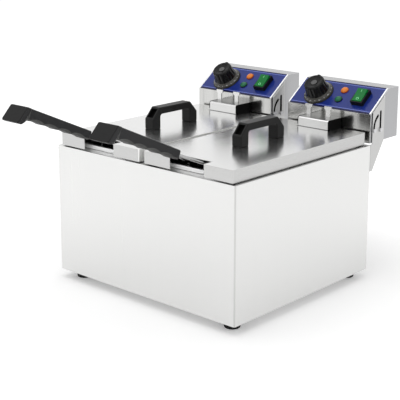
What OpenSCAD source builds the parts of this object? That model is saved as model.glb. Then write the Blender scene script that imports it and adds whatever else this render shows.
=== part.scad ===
// Counter-top deep fryer with two lift-out tanks, each under its own lid and
// with its own tilting control head, heating element and wire basket.
// Millimetres. +X is the fryer's right, +Y its back, +Z up. The origin lies
// under the middle of the whole outline, on the surface that the feet stand on.

/* [Casing] */
// Width of the casing
casing_w = 400; // [360:1:460]
// Depth of the casing, front to back
casing_d = 358; // [340:1:420]
// Height of the casing without its feet
casing_h = 223; // [205:1:300]
// Sheet thickness of the casing
casing_t = 1.2; // [0.8:0.1:2]
// Bend radius of the casing's upright edges
casing_r = 3; // [2:0.5:8]

/* [Feet] */
// Diameter of a foot
foot_d = 29; // [20:1:40]
// Height of a foot
foot_h = 15; // [8:1:30]
// From a casing side, or its front, to the middle of a foot
foot_inset = 29; // [22:1:60]
// From the casing's back face to the middle of a back foot
foot_back = 20; // [18:1:60]
// Thread diameter of a foot screw
foot_screw_d = 5; // [4:1:8]

/* [Tanks] */
// Length inside a tank
tank_l = 317; // [300:1:322]
// Depth of a tank from its rim to its floor
tank_depth = 186; // [182:1:196]
// Sheet thickness of a tank
tank_t = 1; // [0.8:0.1:1.6]
// Corner radius inside a tank
tank_r = 12; // [6:1:30]
// From the casing's back face to a tank's back wall, inside
tank_back = 16; // [15:0.5:18]
// Width of a tank's rim beyond its walls
rim_w = 5.5; // [4:0.5:6]
// Height of a tank's rim above the deck
rim_h = 7; // [5:0.5:8]
// Room between a tank and the edge of its cut-out
tank_play = 1; // [0.6:0.1:2]

/* [Lids] */
// Width of the strip of deck between the two lids
lid_split = 11; // [6:0.5:40]
// From a casing side to the lid beside it
lid_side = 7.5; // [3:0.5:20]
// How far a lid reaches past the rim of its tank, on each side
lid_over = 4.5; // [2:0.5:8]
// Height of a lid's skirt
skirt_h = 20.6; // [16:0.2:30]
// Sheet thickness of a lid
lid_t = 1; // [0.8:0.1:1.6]
// From the casing's front face to a lid's front
lid_front = 3; // [1:0.5:8]
// From the casing's back face to a lid's back
lid_back = 7; // [6.5:0.5:8]
// Gap between a lid's skirt and the deck
lid_gap = 1.6; // [0.6:0.2:3]
// Width of the notch for the basket's rods
notch_w = 71; // [60:1:100]
// How far the notch runs back into a lid's top
notch_l = 20; // [18:1:30]

/* [Lid handles] */
// Length of a lid handle
handle_l = 112; // [90:1:160]
// Width of a lid handle
handle_w = 20; // [14:1:30]
// Height of a lid handle
handle_h = 37; // [30:1:50]
// Thickness of the bar across a lid handle
handle_bar = 12; // [9:1:16]
// Length of each leg of a lid handle
handle_leg = 19; // [15:1:26]
// Slanted shoulder of a lid handle
handle_chamfer = 17; // [8:1:20]

/* [Control heads] */
// Width of the gap between the two heads
head_split = 40; // [12:1:60]
// From a casing side to the head beside it
head_side = 3; // [3:0.5:12]
// Depth of a head
head_d = 85; // [76:1:110]
// Height of a head's front above the deck
head_front = 52; // [48:1:70]
// How far the sloping panel runs back
slope_run = 54; // [50:1:60]
// How far the sloping panel rises
slope_rise = 39; // [30:1:45]
// Sheet thickness of a head
head_t = 1.2; // [0.8:0.1:2]
// Gap between a head and the deck
head_gap = 2.5; // [2.2:0.1:4]
// Thickness of the printed panel plate
panel_t = 1.2; // [0.8:0.1:2]

/* [Brackets] */
// Sheet thickness of a bracket
cheek_t = 1.5; // [1:0.1:2]
// Gap between a bracket's cheeks and the head between them
cheek_gap = 0.6; // [0.4:0.1:0.8]
// From the casing's back face to a cheek's front edge
cheek_front = 5; // [5:0.5:8]
// From the casing's back face to a cheek's back edge
cheek_back = 40; // [38:1:50]
// How far a cheek's tip hangs below the deck
cheek_drop = 47; // [30:1:80]
// Width of the slots in a cheek
slot_w = 5.4; // [5:0.1:7]
// Length of a cheek's upright slot, between its end centres
slot_rise = 31; // [12:1:33]
// From the casing's back face to the axis on which a head tilts
pivot_y = 35.3; // [34:0.1:38]
// Height above the deck of the axis on which a head tilts
pivot_z = 26.6; // [24:0.1:30]

/* [Knobs, lamps and switches] */
// Diameter of a knob's dial
dial_d = 56; // [50:1:58]
// Diameter of a knob's body
knob_d = 42; // [30:1:44]
// Height of a knob
knob_h = 28; // [18:1:32]
// Diameter of a thermostat's shaft
shaft_d = 6; // [5:0.5:8]
// Diameter of a lamp's lens
lamp_d = 13; // [8:0.5:14]
// Width of a switch's frame
switch_w = 24; // [22:0.5:30]
// Length of a switch's frame, up the slope
switch_l = 33; // [32:0.5:38]
// Height of a switch's frame above its panel
switch_h = 9; // [7:0.5:12]

/* [Elements] */
// Width of the housing that the element hangs from
hanger_w = 63; // [56:1:80]
// How far that housing stands out over the tank
hanger_d = 38; // [36:1:40]
// Height of that housing's top above the deck
hanger_top = 39; // [30:0.5:45]
// Diameter of the element's tube
element_d = 8; // [6:0.5:10]
// Distance between neighbouring runs of the tube
element_pitch = 36; // [30:1:38]

/* [Baskets] */
// Gap between a basket and the side of its tank
basket_side = 8.5; // [7:0.5:25]
// Depth of a basket
basket_h = 112; // [80:1:114]
// Thickness of a basket's walls
basket_t = 2; // [1.5:0.1:3]
// Size of the openings in a basket's walls
mesh_open = 18; // [14:1:30]
// Bar between the openings
mesh_bar = 3; // [2:0.5:5]
// Diameter of a basket's rods
rod_d = 5; // [4:0.5:6]
// Rise of a basket's grip, in degrees
grip_angle = 24.4; // [15:0.1:32]
// Length of a basket's grip
grip_l = 152; // [140:1:190]
// Width of a basket's grip
grip_w = 24; // [20:1:30]
// Thickness of a basket's grip where it is thinnest
grip_t = 15; // [13:0.5:20]
// How much thicker a grip grows towards its end
grip_swell = 5; // [0:0.5:8]
// Width of the finger stop at the end of a grip
stop_w = 42; // [30:1:50]
// Thickness of the finger stop
stop_t = 10; // [6:1:16]
// How far the finger stop reaches below the grip
stop_drop = 9; // [6:0.5:18]

/* [Hidden] */
$fn = 48;
// Gap between pieces that rest on each other but come apart
seat = 0.3;
// Gap round a piece that is fixed in a hole
fit = 0.2;
// Overlap that makes two shapes one solid
lap = 0.5;
// Overshoot of a cut past the face it starts from
cut = 1;

SIDES = [-1, 1];
SIDE_NODES = ["tank", "bracket", "head_shell", "back_cover", "panel_plate", "element_hanger",
    "heating_element", "element_guard", "sensor_bulbs", "thermostat", "limiter", "terminal_block",
    "microswitch", "cable_gland", "lamp_orange", "lamp_green", "switch_frame", "rocker", "knob",
    "knob_dial", "reset_button", "slot_studs", "basket", "basket_rods", "basket_grip", "lid",
    "lid_handle", "lid_screws"];
function side_name(name, s) = str(name, s < 0 ? "_left" : "_right");

// ---- widths and places ----
lid_w = (casing_w - lid_split) / 2 - lid_side;
tank_pitch = lid_w + lid_split;
tank_w = lid_w - 2 * (lid_over + rim_w + tank_t);
basket_w = tank_w - 2 * basket_side;
head_w = (casing_w - head_split) / 2 - head_side;
head_pitch = head_w + head_split;
slope_angle = atan(slope_rise / slope_run);
slope_l = norm([slope_run, slope_rise]);
head_top = head_front + slope_rise;
cover_t = head_t;
gland_reach = 16;
back_reach = head_d + cover_t + gland_reach;
// Inner end of a grip, in front of the casing and above the deck
grip_start = 22;
grip_start_z = 36;
// The finger stop leans out at its foot
stop_lean = 9.5;
stop_low = grip_t / 2 + grip_swell + stop_drop;
grip_reach = grip_start + (grip_l + stop_lean) * cos(grip_angle) + stop_low * sin(grip_angle);
case_y = (grip_reach - back_reach) / 2;
rear_y = case_y + casing_d / 2;
deck_z = foot_h + casing_h;
tank_end = -tank_back - tank_l;
tank_mid = tank_end + tank_l / 2;
hanger_x = (head_pitch - tank_pitch) / 4;

// Frame on the deck at the casing's back face, over the middle of a tank
module at_tank(s) { translate([s * tank_pitch / 2, rear_y, deck_z]) children(); }
// The same, over the middle of a head
module at_head(s) { translate([s * head_pitch / 2, rear_y, deck_z]) children(); }
// The same, over the middle of an element's hanger
module at_hanger(s) { translate([s * (tank_pitch / 2 + hanger_x), rear_y, deck_z]) children(); }
// Frame on a head's sloping face: +Y up the slope, +Z out of it
module on_slope() { translate([0, 0, head_front]) rotate([slope_angle, 0, 0]) children(); }

// ---- shapes ----
function arc(x, y, r, a0, a1, n) =
    [for (i = [0:n]) let (a = a0 + (a1 - a0) * i / n) [x + r * cos(a), y + r * sin(a)]];
// Outline of a rectangle with round corners, about its middle
function round_rect(w, l, r, n = 5) = let (x = w / 2 - r, y = l / 2 - r) concat(
    arc(x, y, r, 0, 90, n), arc(-x, y, r, 90, 180, n),
    arc(-x, -y, r, 180, 270, n), arc(x, -y, r, 270, 360, n));
// Outline of a straight slot from the origin up +Y
function slot_outline(l, w, n = 8) = concat(arc(0, l, w / 2, 0, 180, n), arc(0, 0, w / 2, 180, 360, n));
// Outline of a slot bent round the origin
function bent_slot(r, w, a0, a1, n = 12) = concat(
    arc(0, 0, r + w / 2, a0, a1, n),
    arc(r * cos(a1), r * sin(a1), w / 2, a1, a1 + 180, 6),
    arc(0, 0, r - w / 2, a1, a0, n),
    arc(r * cos(a0), r * sin(a0), w / 2, a0 - 180, a0, 6));

module slab(w, l, r, h) { linear_extrude(h) polygon(round_rect(w, l, r)); }
// A side view in Y and Z, w wide about X = 0
module side_view(w) { translate([-w / 2, 0, 0]) rotate([90, 0, 90]) linear_extrude(w) children(); }
// A block about the middle of its foot
module block(w, l, h) { translate([-w / 2, -l / 2, 0]) cube([w, l, h]); }

function unit(v) = v / norm(v);
// A route with each corner rounded to radius r
function rounded(p, r, n = 4) = concat([p[0]], [for (i = [1:len(p) - 2])
    let (a = unit(p[i - 1] - p[i]), b = unit(p[i + 1] - p[i]), half = acos(a * b) / 2,
        c = p[i] + unit(a + b) * r / sin(half), foot = r / tan(half),
        u = unit(p[i] + a * foot - c), turn = 180 - 2 * half)
    each [for (k = [0:n]) c + r * (cos(turn * k / n) * u - sin(turn * k / n) * a)]],
    [p[len(p) - 1]]);
function tangents(p) =
    [for (i = [0:len(p) - 1]) unit(p[min(i + 1, len(p) - 1)] - p[max(i - 1, 0)])];
function normals(t, n, i = 0) = i == len(t) ? []
    : let (m = unit(n - (n * t[i]) * t[i])) concat([m], normals(t, m, i + 1));
// A round bar along a route; n is any direction across its first stretch
module bar_along(p, d, n, sides = 10) {
    t = tangents(p);
    m = normals(t, n);
    points = [for (i = [0:len(p) - 1], k = [0:sides - 1])
        let (a = 360 * k / sides) p[i] + d / 2 * (cos(a) * m[i] + sin(a) * cross(t[i], m[i]))];
    last = (len(p) - 1) * sides;
    polyhedron(points, concat([[for (k = [0:sides - 1]) k]],
        [[for (k = [sides - 1:-1:0]) last + k]],
        [for (i = [0:len(p) - 2], k = [0:sides - 1]) let (a = i * sides, b = (k + 1) % sides)
            [a + k, a + sides + k, a + sides + b, a + b]]));
}

// ---- casing ----
cutout_w = tank_w + 2 * (tank_t + tank_play);
cutout_l = tank_l + 2 * (tank_t + tank_play);
// Tongues by which a bracket hooks into the deck
tongue_w = 16;
tongue_x = 20;
tongue_y = -6.5;
tongue_drop = 12;
// Louvres in the casing's back wall
louvre_w = 44;
louvre_h = 4;
louvre_pitch = 12;
louvre_count = 5;
louvre_z = 30;

module casing() {
    color("gainsboro") difference() {
        translate([0, case_y, foot_h]) slab(casing_w, casing_d, casing_r, casing_h);
        translate([0, case_y, foot_h - cut])
            slab(casing_w - 2 * casing_t, casing_d - 2 * casing_t, casing_r - casing_t, casing_h - casing_t + cut);
        for (s = SIDES) {
            at_tank(s) translate([0, tank_mid, -casing_t - cut])
                slab(cutout_w, cutout_l, tank_r + tank_t + tank_play, casing_t + 2 * cut);
            at_hanger(s) for (x = [-tongue_x, tongue_x])
                translate([x, tongue_y, -casing_t - cut]) block(tongue_w + 2 * seat, cheek_t + 2 * seat, casing_t + 2 * cut);
            for (i = [0:louvre_count - 1])
                translate([s * tank_pitch / 2, rear_y, foot_h + louvre_z + i * louvre_pitch])
                    block(louvre_w, 2 * casing_t + 2 * cut, louvre_h);
        }
    }
}

base_t = 1.5;
module at_feet() {
    for (x = SIDES, y = [foot_inset - casing_d, -foot_back])
        translate([x * (casing_w / 2 - foot_inset), rear_y + y, 0]) children();
}
module base_plate() {
    plate_w = casing_w - 2 * casing_t - 2 * fit;
    plate_l = casing_d - 2 * casing_t - 2 * fit;
    flange_h = 12;
    color("silver") difference() {
        translate([0, case_y, foot_h]) slab(plate_w, plate_l, casing_r - casing_t, flange_h);
        translate([0, case_y, foot_h + base_t])
            slab(plate_w - 2 * base_t, plate_l - 2 * base_t, 1, flange_h);
        at_feet() cylinder(h = foot_h + base_t + cut, d = foot_screw_d + 2 * fit);
        for (s = SIDES, i = [-2:2])
            translate([s * tank_pitch / 2 + i * 24, case_y, foot_h + base_t / 2])
                cube([8, 120, base_t + 2 * cut], center = true);
    }
}

foot_screw_depth = 10;
module feet() {
    color("#222222") at_feet() difference() {
        union() {
            cylinder(h = foot_h - 3, d1 = foot_d - 3, d2 = foot_d);
            translate([0, 0, foot_h - 3]) cylinder(h = 3, d = foot_d);
        }
        translate([0, 0, foot_h - foot_screw_depth]) cylinder(h = foot_screw_depth + cut, d = foot_screw_d + 2 * fit);
    }
}

module foot_screws() {
    color("silver") at_feet() {
        translate([0, 0, foot_h - foot_screw_depth + seat])
            cylinder(h = foot_screw_depth - seat + base_t + lap, d = foot_screw_d);
        translate([0, 0, foot_h + base_t]) cylinder(h = 3, d = 2 * foot_screw_d);
    }
}

// ---- tank ----
tank_floor = rim_h - tank_depth;
module tank(s) {
    outer_w = tank_w + 2 * tank_t;
    outer_l = tank_l + 2 * tank_t;
    color("lightgray") at_tank(s) translate([0, tank_mid, 0]) difference() {
        union() {
            translate([0, 0, tank_floor - tank_t]) slab(outer_w, outer_l, tank_r + tank_t, tank_depth + tank_t);
            difference() {
                translate([0, 0, seat])
                    slab(outer_w + 2 * rim_w, outer_l + 2 * rim_w, tank_r + tank_t + rim_w, rim_h - seat);
                translate([0, 0, seat - cut])
                    slab(outer_w + 2 * (rim_w - tank_t), outer_l + 2 * (rim_w - tank_t),
                        tank_r + rim_w, rim_h - seat - tank_t + cut);
            }
        }
        translate([0, 0, tank_floor]) slab(tank_w, tank_l, tank_r, tank_depth + cut);
    }
}

// ---- bracket ----
pivot = [pivot_y, pivot_z];
front_stud = pivot + [-26.2, -2.6];
rear_stud = pivot + [-6.6, -3.8];
front_stud_r = norm(front_stud - pivot);
front_stud_a = 180 - atan2(front_stud[1] - pivot[1], pivot[0] - front_stud[0]);
front_slot_turn = 60;
// Half of the way by which the rear stud leaves a straight line as the head tilts
rear_stud_swing = (norm(rear_stud - pivot) - (pivot[0] - rear_stud[0])) / 2;
cheek_x = head_w / 2 + cheek_gap;
module cheek() {
    foot = 7;
    top = head_front - 0.6;
    rear_z = 3;
    rise = slope_rise / slope_run;
    difference() {
        linear_extrude(cheek_t) difference() {
            polygon([[seat, -cheek_drop], [foot, -cheek_drop], [cheek_back, rear_z],
                [cheek_back, top + cheek_back * rise], [cheek_front, top + cheek_front * rise],
                [cheek_front, seat], [seat, seat]]);
            translate(pivot) polygon(bent_slot(front_stud_r, slot_w,
                front_stud_a - front_slot_turn, front_stud_a));
            translate(rear_stud - [rear_stud_swing, 0]) polygon(slot_outline(slot_rise, slot_w));
        }
    }
}
module bracket(s) {
    web_top = -2;
    color("#c8c8c6") {
        at_head(s) difference() {
            union() {
                for (x = [-cheek_x - cheek_t, cheek_x]) translate([x, 0, 0]) rotate([90, 0, 90]) cheek();
                translate([-cheek_x - cheek_t, seat, -cheek_drop])
                    cube([2 * (cheek_x + cheek_t), cheek_t, cheek_drop + web_top]);
                translate([s * (hanger_x + tank_pitch / 2 - head_pitch / 2), 0, 0])
                    for (x = [-tongue_x, tongue_x]) translate([x, 0, 0]) {
                        translate([-tongue_w / 2, seat, web_top - lap]) cube([tongue_w, cheek_t, seat + cheek_t - web_top + lap]);
                        translate([-tongue_w / 2, tongue_y - cheek_t / 2, seat])
                            cube([tongue_w, seat + cheek_t - tongue_y + cheek_t / 2, cheek_t]);
                        translate([-tongue_w / 2, tongue_y - cheek_t / 2, -tongue_drop])
                            cube([tongue_w, cheek_t, tongue_drop + seat + cheek_t]);
                    }
            }
        }
    }
}

// ---- head ----
knob_x = -38.5;
knob_v = 31;
lamp_x = 9;
lamp_v = [46, 23];
switch_x = 52;
switch_v = 32;
switch_body_w = 21.5;
switch_body_l = 29.5;
switch_body_h = 20;
shaft_hole_d = 12;
lamp_neck_d = 8;
stud_d = 4;
stud_head_d = 8;
stud_head_h = 2.2;
leg_x = 20;
leg_y = -24;
rim_flange = 9;
hanger_floor = rim_h + 2.5;
reset_x = 52;
reset_z = 52;
reset_neck_d = 12;
gland_x = -52;
gland_z = 22;
gland_neck_d = 16;
lead_d = 9;

// Holes that the sloping sheet and its panel plate share
module slope_holes(from, to) {
    translate([knob_x, knob_v, from]) cylinder(h = to - from, d = shaft_hole_d);
    for (v = lamp_v) translate([lamp_x, v, from]) cylinder(h = to - from, d = lamp_neck_d + 2 * fit);
    translate([switch_x, switch_v, from])
        block(switch_body_w + 2 * fit, switch_body_l + 2 * fit, to - from);
}
function head_outline(t) = let (w = t / cos(slope_angle), rise = slope_rise / slope_run) [
    [t, head_gap + t], [t, head_front + t * rise - w],
    [(slope_rise - t + w) / rise, head_top - t], [head_d - t, head_top - t], [head_d - t, head_gap + t]];
module head_shell(s) {
    opening_w = head_w - 2 * rim_flange;
    opening_h = head_top - head_gap - 2 * rim_flange;
    color("#d4d4d2") at_head(s) difference() {
        side_view(head_w) polygon(head_outline(0));
        side_view(head_w - 2 * head_t) polygon(head_outline(head_t));
        translate([-opening_w / 2, head_d - head_t - cut, head_gap + rim_flange])
            cube([opening_w, head_t + 2 * cut, opening_h]);
        on_slope() slope_holes(-3 * head_t, cut);
        translate([s * (hanger_x + tank_pitch / 2 - head_pitch / 2), 0, (hanger_floor + hanger_top) / 2])
            cube([hanger_w - 12, 4 * head_t, hanger_top - hanger_floor - 8], center = true);
        for (p = [front_stud, rear_stud], x = [-head_w / 2, head_w / 2])
            translate([x, p[0], p[1]]) rotate([0, 90, 0]) cylinder(h = 4 * head_t, d = stud_d + 0.2, center = true);
    }
}

module back_cover(s) {
    margin = 1;
    vent_w = 3;
    vent_h = 22;
    color("#bababa") at_head(s) difference() {
        translate([-head_w / 2 + margin, head_d, head_gap + margin])
            cube([head_w - 2 * margin, cover_t, head_top - head_gap - 2 * margin]);
        translate([reset_x, head_d - cut, reset_z]) rotate([-90, 0, 0])
            cylinder(h = cover_t + 2 * cut, d = reset_neck_d + 2 * fit);
        translate([gland_x, head_d - cut, gland_z]) rotate([-90, 0, 0])
            cylinder(h = cover_t + 2 * cut, d = gland_neck_d + 2 * fit);
        for (i = [-4:4]) translate([i * 3 * vent_w, head_d + cover_t / 2, head_top - 30])
            cube([vent_w, cover_t + 2 * cut, vent_h], center = true);
    }
}

module panel_plate(s) {
    margin = 1.2;
    color("#2a3a8c") at_head(s) on_slope() difference() {
        translate([-head_w / 2 + margin, margin, 0]) cube([head_w - 2 * margin, slope_l - 2 * margin, panel_t]);
        slope_holes(-cut, panel_t + cut);
    }
}

module slot_studs(s) {
    neck = cheek_gap + cheek_t + seat;
    inside = 5;
    color("silver") at_head(s) for (p = [front_stud, rear_stud], side = SIDES)
        translate([side * head_w / 2, p[0], p[1]]) rotate([0, side * 90, 0]) {
            translate([0, 0, -inside]) cylinder(h = inside + neck + lap, d = stud_d);
            translate([0, 0, neck]) cylinder(h = stud_head_h, d = stud_head_d);
            translate([0, 0, -inside]) cylinder(h = inside - head_t, d = stud_d + 3, $fn = 6);
        }
}

// ---- element ----
post_x = 20.5;
post_h = 22;
post_t = 2.5;
post_y = -22;
post_top_w = 15;
post_neck_w = 8.5;
module post_outline() {
    bar = 5;
    sweep = (post_top_w - post_neck_w) / 2;
    polygon(concat([[-post_top_w / 2, post_h], [-post_top_w / 2, post_h - bar]],
        arc(-post_top_w / 2, post_h - bar - sweep, sweep, 90, 0, 4),
        [[-post_neck_w / 2, 0], [post_neck_w / 2, 0]],
        arc(post_top_w / 2, post_h - bar - sweep, sweep, 180, 90, 4),
        [[post_top_w / 2, post_h]]));
}
module element_hanger(s) {
    color("gainsboro") at_hanger(s) {
        difference() {
            translate([-hanger_w / 2, -hanger_d, hanger_floor]) cube([hanger_w, hanger_d, hanger_top - hanger_floor]);
            translate([-hanger_w / 2 + head_t, -hanger_d + head_t, hanger_floor + head_t])
                cube([hanger_w - 2 * head_t, hanger_d + cut, hanger_top - hanger_floor - 2 * head_t]);
            for (x = [-leg_x, leg_x]) translate([x, leg_y, hanger_floor - cut])
                cylinder(h = head_t + 2 * cut, d = element_d + 2 * fit);
            for (x = [-bulb_x, bulb_x]) translate([x, capillary_y, hanger_floor - cut])
                cylinder(h = head_t + 2 * cut, d = capillary_d + 2 * fit);
        }
        for (x = [-post_x, post_x]) translate([x, post_y + post_t / 2, hanger_top - lap])
            rotate([90, 0, 0]) linear_extrude(post_t) post_outline();
    }
}

basket_floor = -118;
guard_t = 1.2;
guard_z = basket_floor - seat - guard_t;
guard_skirt = 22;
element_z = guard_z - guard_skirt - element_d / 2;
// From a tank's front wall to its element, so that the element clears it as it tilts
element_ahead = 59;
element_front = tank_end + element_ahead;
element_back = -62;
module heating_element(s) {
    jog_z = [-28, -62];
    a = 1.5 * element_pitch;
    b = 0.5 * element_pitch;
    half = [[leg_x, leg_y, hanger_floor + 12], [leg_x, leg_y, jog_z[0]], [a, leg_y, jog_z[1]],
        [a, leg_y, element_z], [a, element_front, element_z], [b, element_front, element_z],
        [b, element_back, element_z]];
    count = len(half);
    route = concat([for (p = half) [-p[0], p[1], p[2]]], [for (i = [count - 1:-1:0]) half[i]]);
    color("#6d6a66") at_hanger(s) bar_along(rounded(route, 14), element_d, [1, 0, 0]);
}

guard_front = element_front - element_d;
guard_back = -46;
// Gap between a guard and the side of its tank
guard_side = 14.5;
module element_guard(s) {
    guard_l = guard_back - guard_front;
    guard_w = tank_w - 2 * guard_side;
    slot_w = 8;
    slot_l = 42;
    gap = [18, slot_l + 10];
    columns = floor((guard_w - slot_w) / gap[0]);
    rows = floor((guard_l - slot_w) / gap[1]);
    color("silver") at_hanger(s) {
        translate([0, (guard_front + guard_back) / 2, guard_z]) linear_extrude(guard_t) difference() {
            square([guard_w, guard_l], center = true);
            for (i = [0:columns - 1], j = [0:rows - 1])
                translate([(i - (columns - 1) / 2) * gap[0], (j - (rows - 1) / 2) * gap[1] - slot_l / 2])
                    polygon(slot_outline(slot_l - slot_w, slot_w, 4));
        }
        for (x = [-1.5, 1.5]) translate([x * element_pitch - guard_t / 2, guard_front, guard_z - guard_skirt])
            cube([guard_t, guard_l, guard_skirt + lap]);
    }
}

bulb_d = 6;
bulb_l = 90;
bulb_x = 8;
capillary_d = 2.4;
capillary_y = -32;
module sensor_bulbs(s) {
    bulb_z = guard_z - fit - bulb_d / 2;
    bulb_back = -100;
    color("#b87333") at_hanger(s) for (x = [-bulb_x, bulb_x]) {
        translate([x, bulb_back, bulb_z]) rotate([90, 0, 0]) cylinder(h = bulb_l, d = bulb_d);
        bar_along(rounded([[x, bulb_back - 4, bulb_z], [x, capillary_y, bulb_z],
            [x, capillary_y, hanger_floor + 10]], 8), capillary_d, [1, 0, 0], 8);
    }
}

// ---- inside a head ----
module thermostat(s) {
    body = 42;
    depth = 26;
    shaft_top = panel_t + 16;
    color("#3a3a3a") at_head(s) on_slope() translate([knob_x, knob_v, 0]) {
        translate([0, 0, -head_t - depth]) block(body, body, depth);
        translate([0, 0, -head_t - lap]) cylinder(h = head_t + lap + panel_t - 0.2, d = 11);
        translate([0, 0, -head_t - lap]) cylinder(h = shaft_top + head_t + lap, d = shaft_d);
    }
}

reset_travel = 2;
reset_d = 6;
reset_show = 3.5;
reset_neck = 4;
module limiter(s) {
    color("#d8d2c0") at_head(s) translate([reset_x, head_d, reset_z]) rotate([90, 0, 0]) difference() {
        union() {
            translate([0, 0, head_t / 2]) cylinder(h = 22, d = 26);
            translate([0, 0, -cover_t - reset_neck]) cylinder(h = cover_t + reset_neck + 2, d = reset_neck_d);
        }
        translate([0, 0, -cover_t - reset_neck - cut]) cylinder(h = cover_t + reset_neck + 14 + cut, d = reset_d + 0.14);
    }
}
module reset_button(s) {
    color("#b01818") at_head(s) translate([reset_x, head_d + cover_t + reset_neck + reset_show, reset_z])
        rotate([90, 0, 0]) cylinder(h = reset_show + reset_neck + cover_t + 8, d = reset_d);
}

module terminal_block(s) {
    ways = 4;
    pitch = 11;
    color("#e8e4d8") at_head(s) translate([-20, 52, head_gap + head_t]) difference() {
        block(ways * pitch, 20, 22);
        for (i = [0:ways - 1]) translate([(i - (ways - 1) / 2) * pitch, 0, 10]) cylinder(h = 14, d = 6);
    }
}

module microswitch(s) {
    color("#202020") at_head(s) translate([62, 26, head_gap + head_t]) difference() {
        block(28, 10, 16);
        for (x = [-10, 10]) translate([x, 0, 5]) rotate([90, 0, 0]) cylinder(h = 14, d = 3, center = true);
    }
}

gland_inside = 10;
module cable_gland(s) {
    color("#1c1c1c") at_head(s) translate([gland_x, head_d + cover_t, gland_z]) rotate([-90, 0, 0]) difference() {
        union() {
            translate([0, 0, -gland_inside]) cylinder(h = gland_inside + 1, d = gland_neck_d);
            translate([0, 0, -gland_inside]) cylinder(h = gland_inside - cover_t, d = gland_neck_d + 6, $fn = 6);
            cylinder(h = 6, d = gland_neck_d + 8, $fn = 6);
            translate([0, 0, 6]) cylinder(h = gland_reach - 6, d1 = gland_neck_d + 3, d2 = lead_d + 5);
        }
        translate([0, 0, -gland_inside - cut]) cylinder(h = gland_inside + gland_reach + 2 * cut, d = lead_d);
    }
}

module lamp(v, tint) {
    flange_h = 1.5;
    band_h = 2;
    dome_r = 0.62 * lamp_d;
    color(tint) on_slope() translate([lamp_x, v, 0]) {
        translate([0, 0, -14]) cylinder(h = 14 + panel_t + 0.4, d = lamp_neck_d);
        translate([0, 0, panel_t]) cylinder(h = flange_h, d = lamp_d + 2);
        translate([0, 0, panel_t + flange_h - 0.2]) intersection() {
            cylinder(h = 3 * band_h, d = lamp_d);
            translate([0, 0, band_h - sqrt(dome_r * dome_r - lamp_d * lamp_d / 4)]) sphere(dome_r);
        }
    }
}
module lamp_orange(s) { at_head(s) lamp(lamp_v[0], "orange"); }
module lamp_green(s) { at_head(s) lamp(lamp_v[1], "limegreen"); }

// ---- switch ----
rocker_w = 19;
rocker_l = 27;
rocker_top = 6;
rocker_pivot = panel_t + switch_h - 3.1;
rocker_lean = 8;
rocker_pin_d = 2.4;
rocker_room = 0.5;
module switch_frame(s) {
    pit = 8;
    color("#161616") at_head(s) on_slope() translate([switch_x, switch_v, 0]) difference() {
        union() {
            translate([0, 0, panel_t]) block(switch_w, switch_l, switch_h);
            translate([0, 0, panel_t - switch_body_h]) block(switch_body_w, switch_body_l, switch_body_h + lap);
        }
        translate([0, 0, panel_t + switch_h - pit]) block(rocker_w + 2 * rocker_room, rocker_l + 3, pit + cut);
        translate([0, 0, rocker_pivot]) rotate([0, 90, 0])
            cylinder(h = rocker_w + 4, d = rocker_pin_d + 0.1, center = true);
    }
}
module rocker(s) {
    hollow = 1.2;
    below = 3;
    color("limegreen") at_head(s) on_slope() translate([switch_x, switch_v, rocker_pivot])
        rotate([rocker_lean, 0, 0]) {
            side_view(rocker_w) polygon([[-rocker_l / 2, 0], [-rocker_l / 4, -below], [rocker_l / 4, -below],
                [rocker_l / 2, 0], [rocker_l / 2, rocker_top], [rocker_l / 4, rocker_top - hollow * 0.7],
                [0, rocker_top - hollow], [-rocker_l / 4, rocker_top - hollow * 0.7], [-rocker_l / 2, rocker_top]]);
            rotate([0, 90, 0]) cylinder(h = rocker_w + 3, d = rocker_pin_d, center = true);
        }
}

// ---- knob ----
dial_t = 1.5;
dial_z = panel_t + 0.5;
skirt_flare_h = 8;
knob_flutes = 12;
module knob(s) {
    crown_d = knob_d - 7;
    flare_d = dial_d - 3;
    pointer_w = 5;
    color("#1a1a1a") at_head(s) on_slope() translate([knob_x, knob_v, dial_z + dial_t]) difference() {
        union() {
            difference() {
                rotate_extrude() polygon(concat([[0, 0], [flare_d / 2, 0], [flare_d / 2, 2]],
                    arc(flare_d / 2, skirt_flare_h + 1, (flare_d - knob_d) / 2, -110, -180, 5),
                    [[crown_d / 2 + 1, knob_h - dial_t - 2], [crown_d / 2 - 1, knob_h - dial_t], [0, knob_h - dial_t]]));
                for (i = [0:knob_flutes - 1]) rotate([0, 0, (i + 0.5) * 360 / knob_flutes])
                    translate([knob_d / 2 + 1, 0, skirt_flare_h + 2]) cylinder(h = knob_h, d = 5, $fn = 24);
                translate([0, 0, knob_h - dial_t - 1]) cylinder(h = 1 + cut, d = crown_d - 9);
            }
            translate([0, crown_d / 2 - 2, 2]) side_view(pointer_w) polygon([[0, 0],
                [(flare_d - crown_d) / 2 + 1.5, 0], [5, skirt_flare_h], [3.5, knob_h - dial_t - 3], [0, knob_h - dial_t - 3]]);
        }
        translate([0, 0, -cut]) cylinder(h = 15 + cut, d = shaft_d + 0.12);
    }
}
module knob_dial(s) {
    color("#c4c4c4") at_head(s) on_slope() translate([knob_x, knob_v, dial_z]) difference() {
        cylinder(h = dial_t, d1 = dial_d, d2 = dial_d - 1);
        translate([0, 0, -cut]) cylinder(h = dial_t + 2 * cut, d = shaft_d + 6);
    }
}

// ---- basket ----
// From a tank's front wall to its basket
basket_ahead = 11;
basket_front = tank_end + basket_ahead;
basket_back = guard_back;
front_taper = 24;
back_taper = 10;
side_taper = 6;
basket_rim = basket_floor + basket_h;
rim_band = 5;
rim_proud = 1.5;
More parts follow.
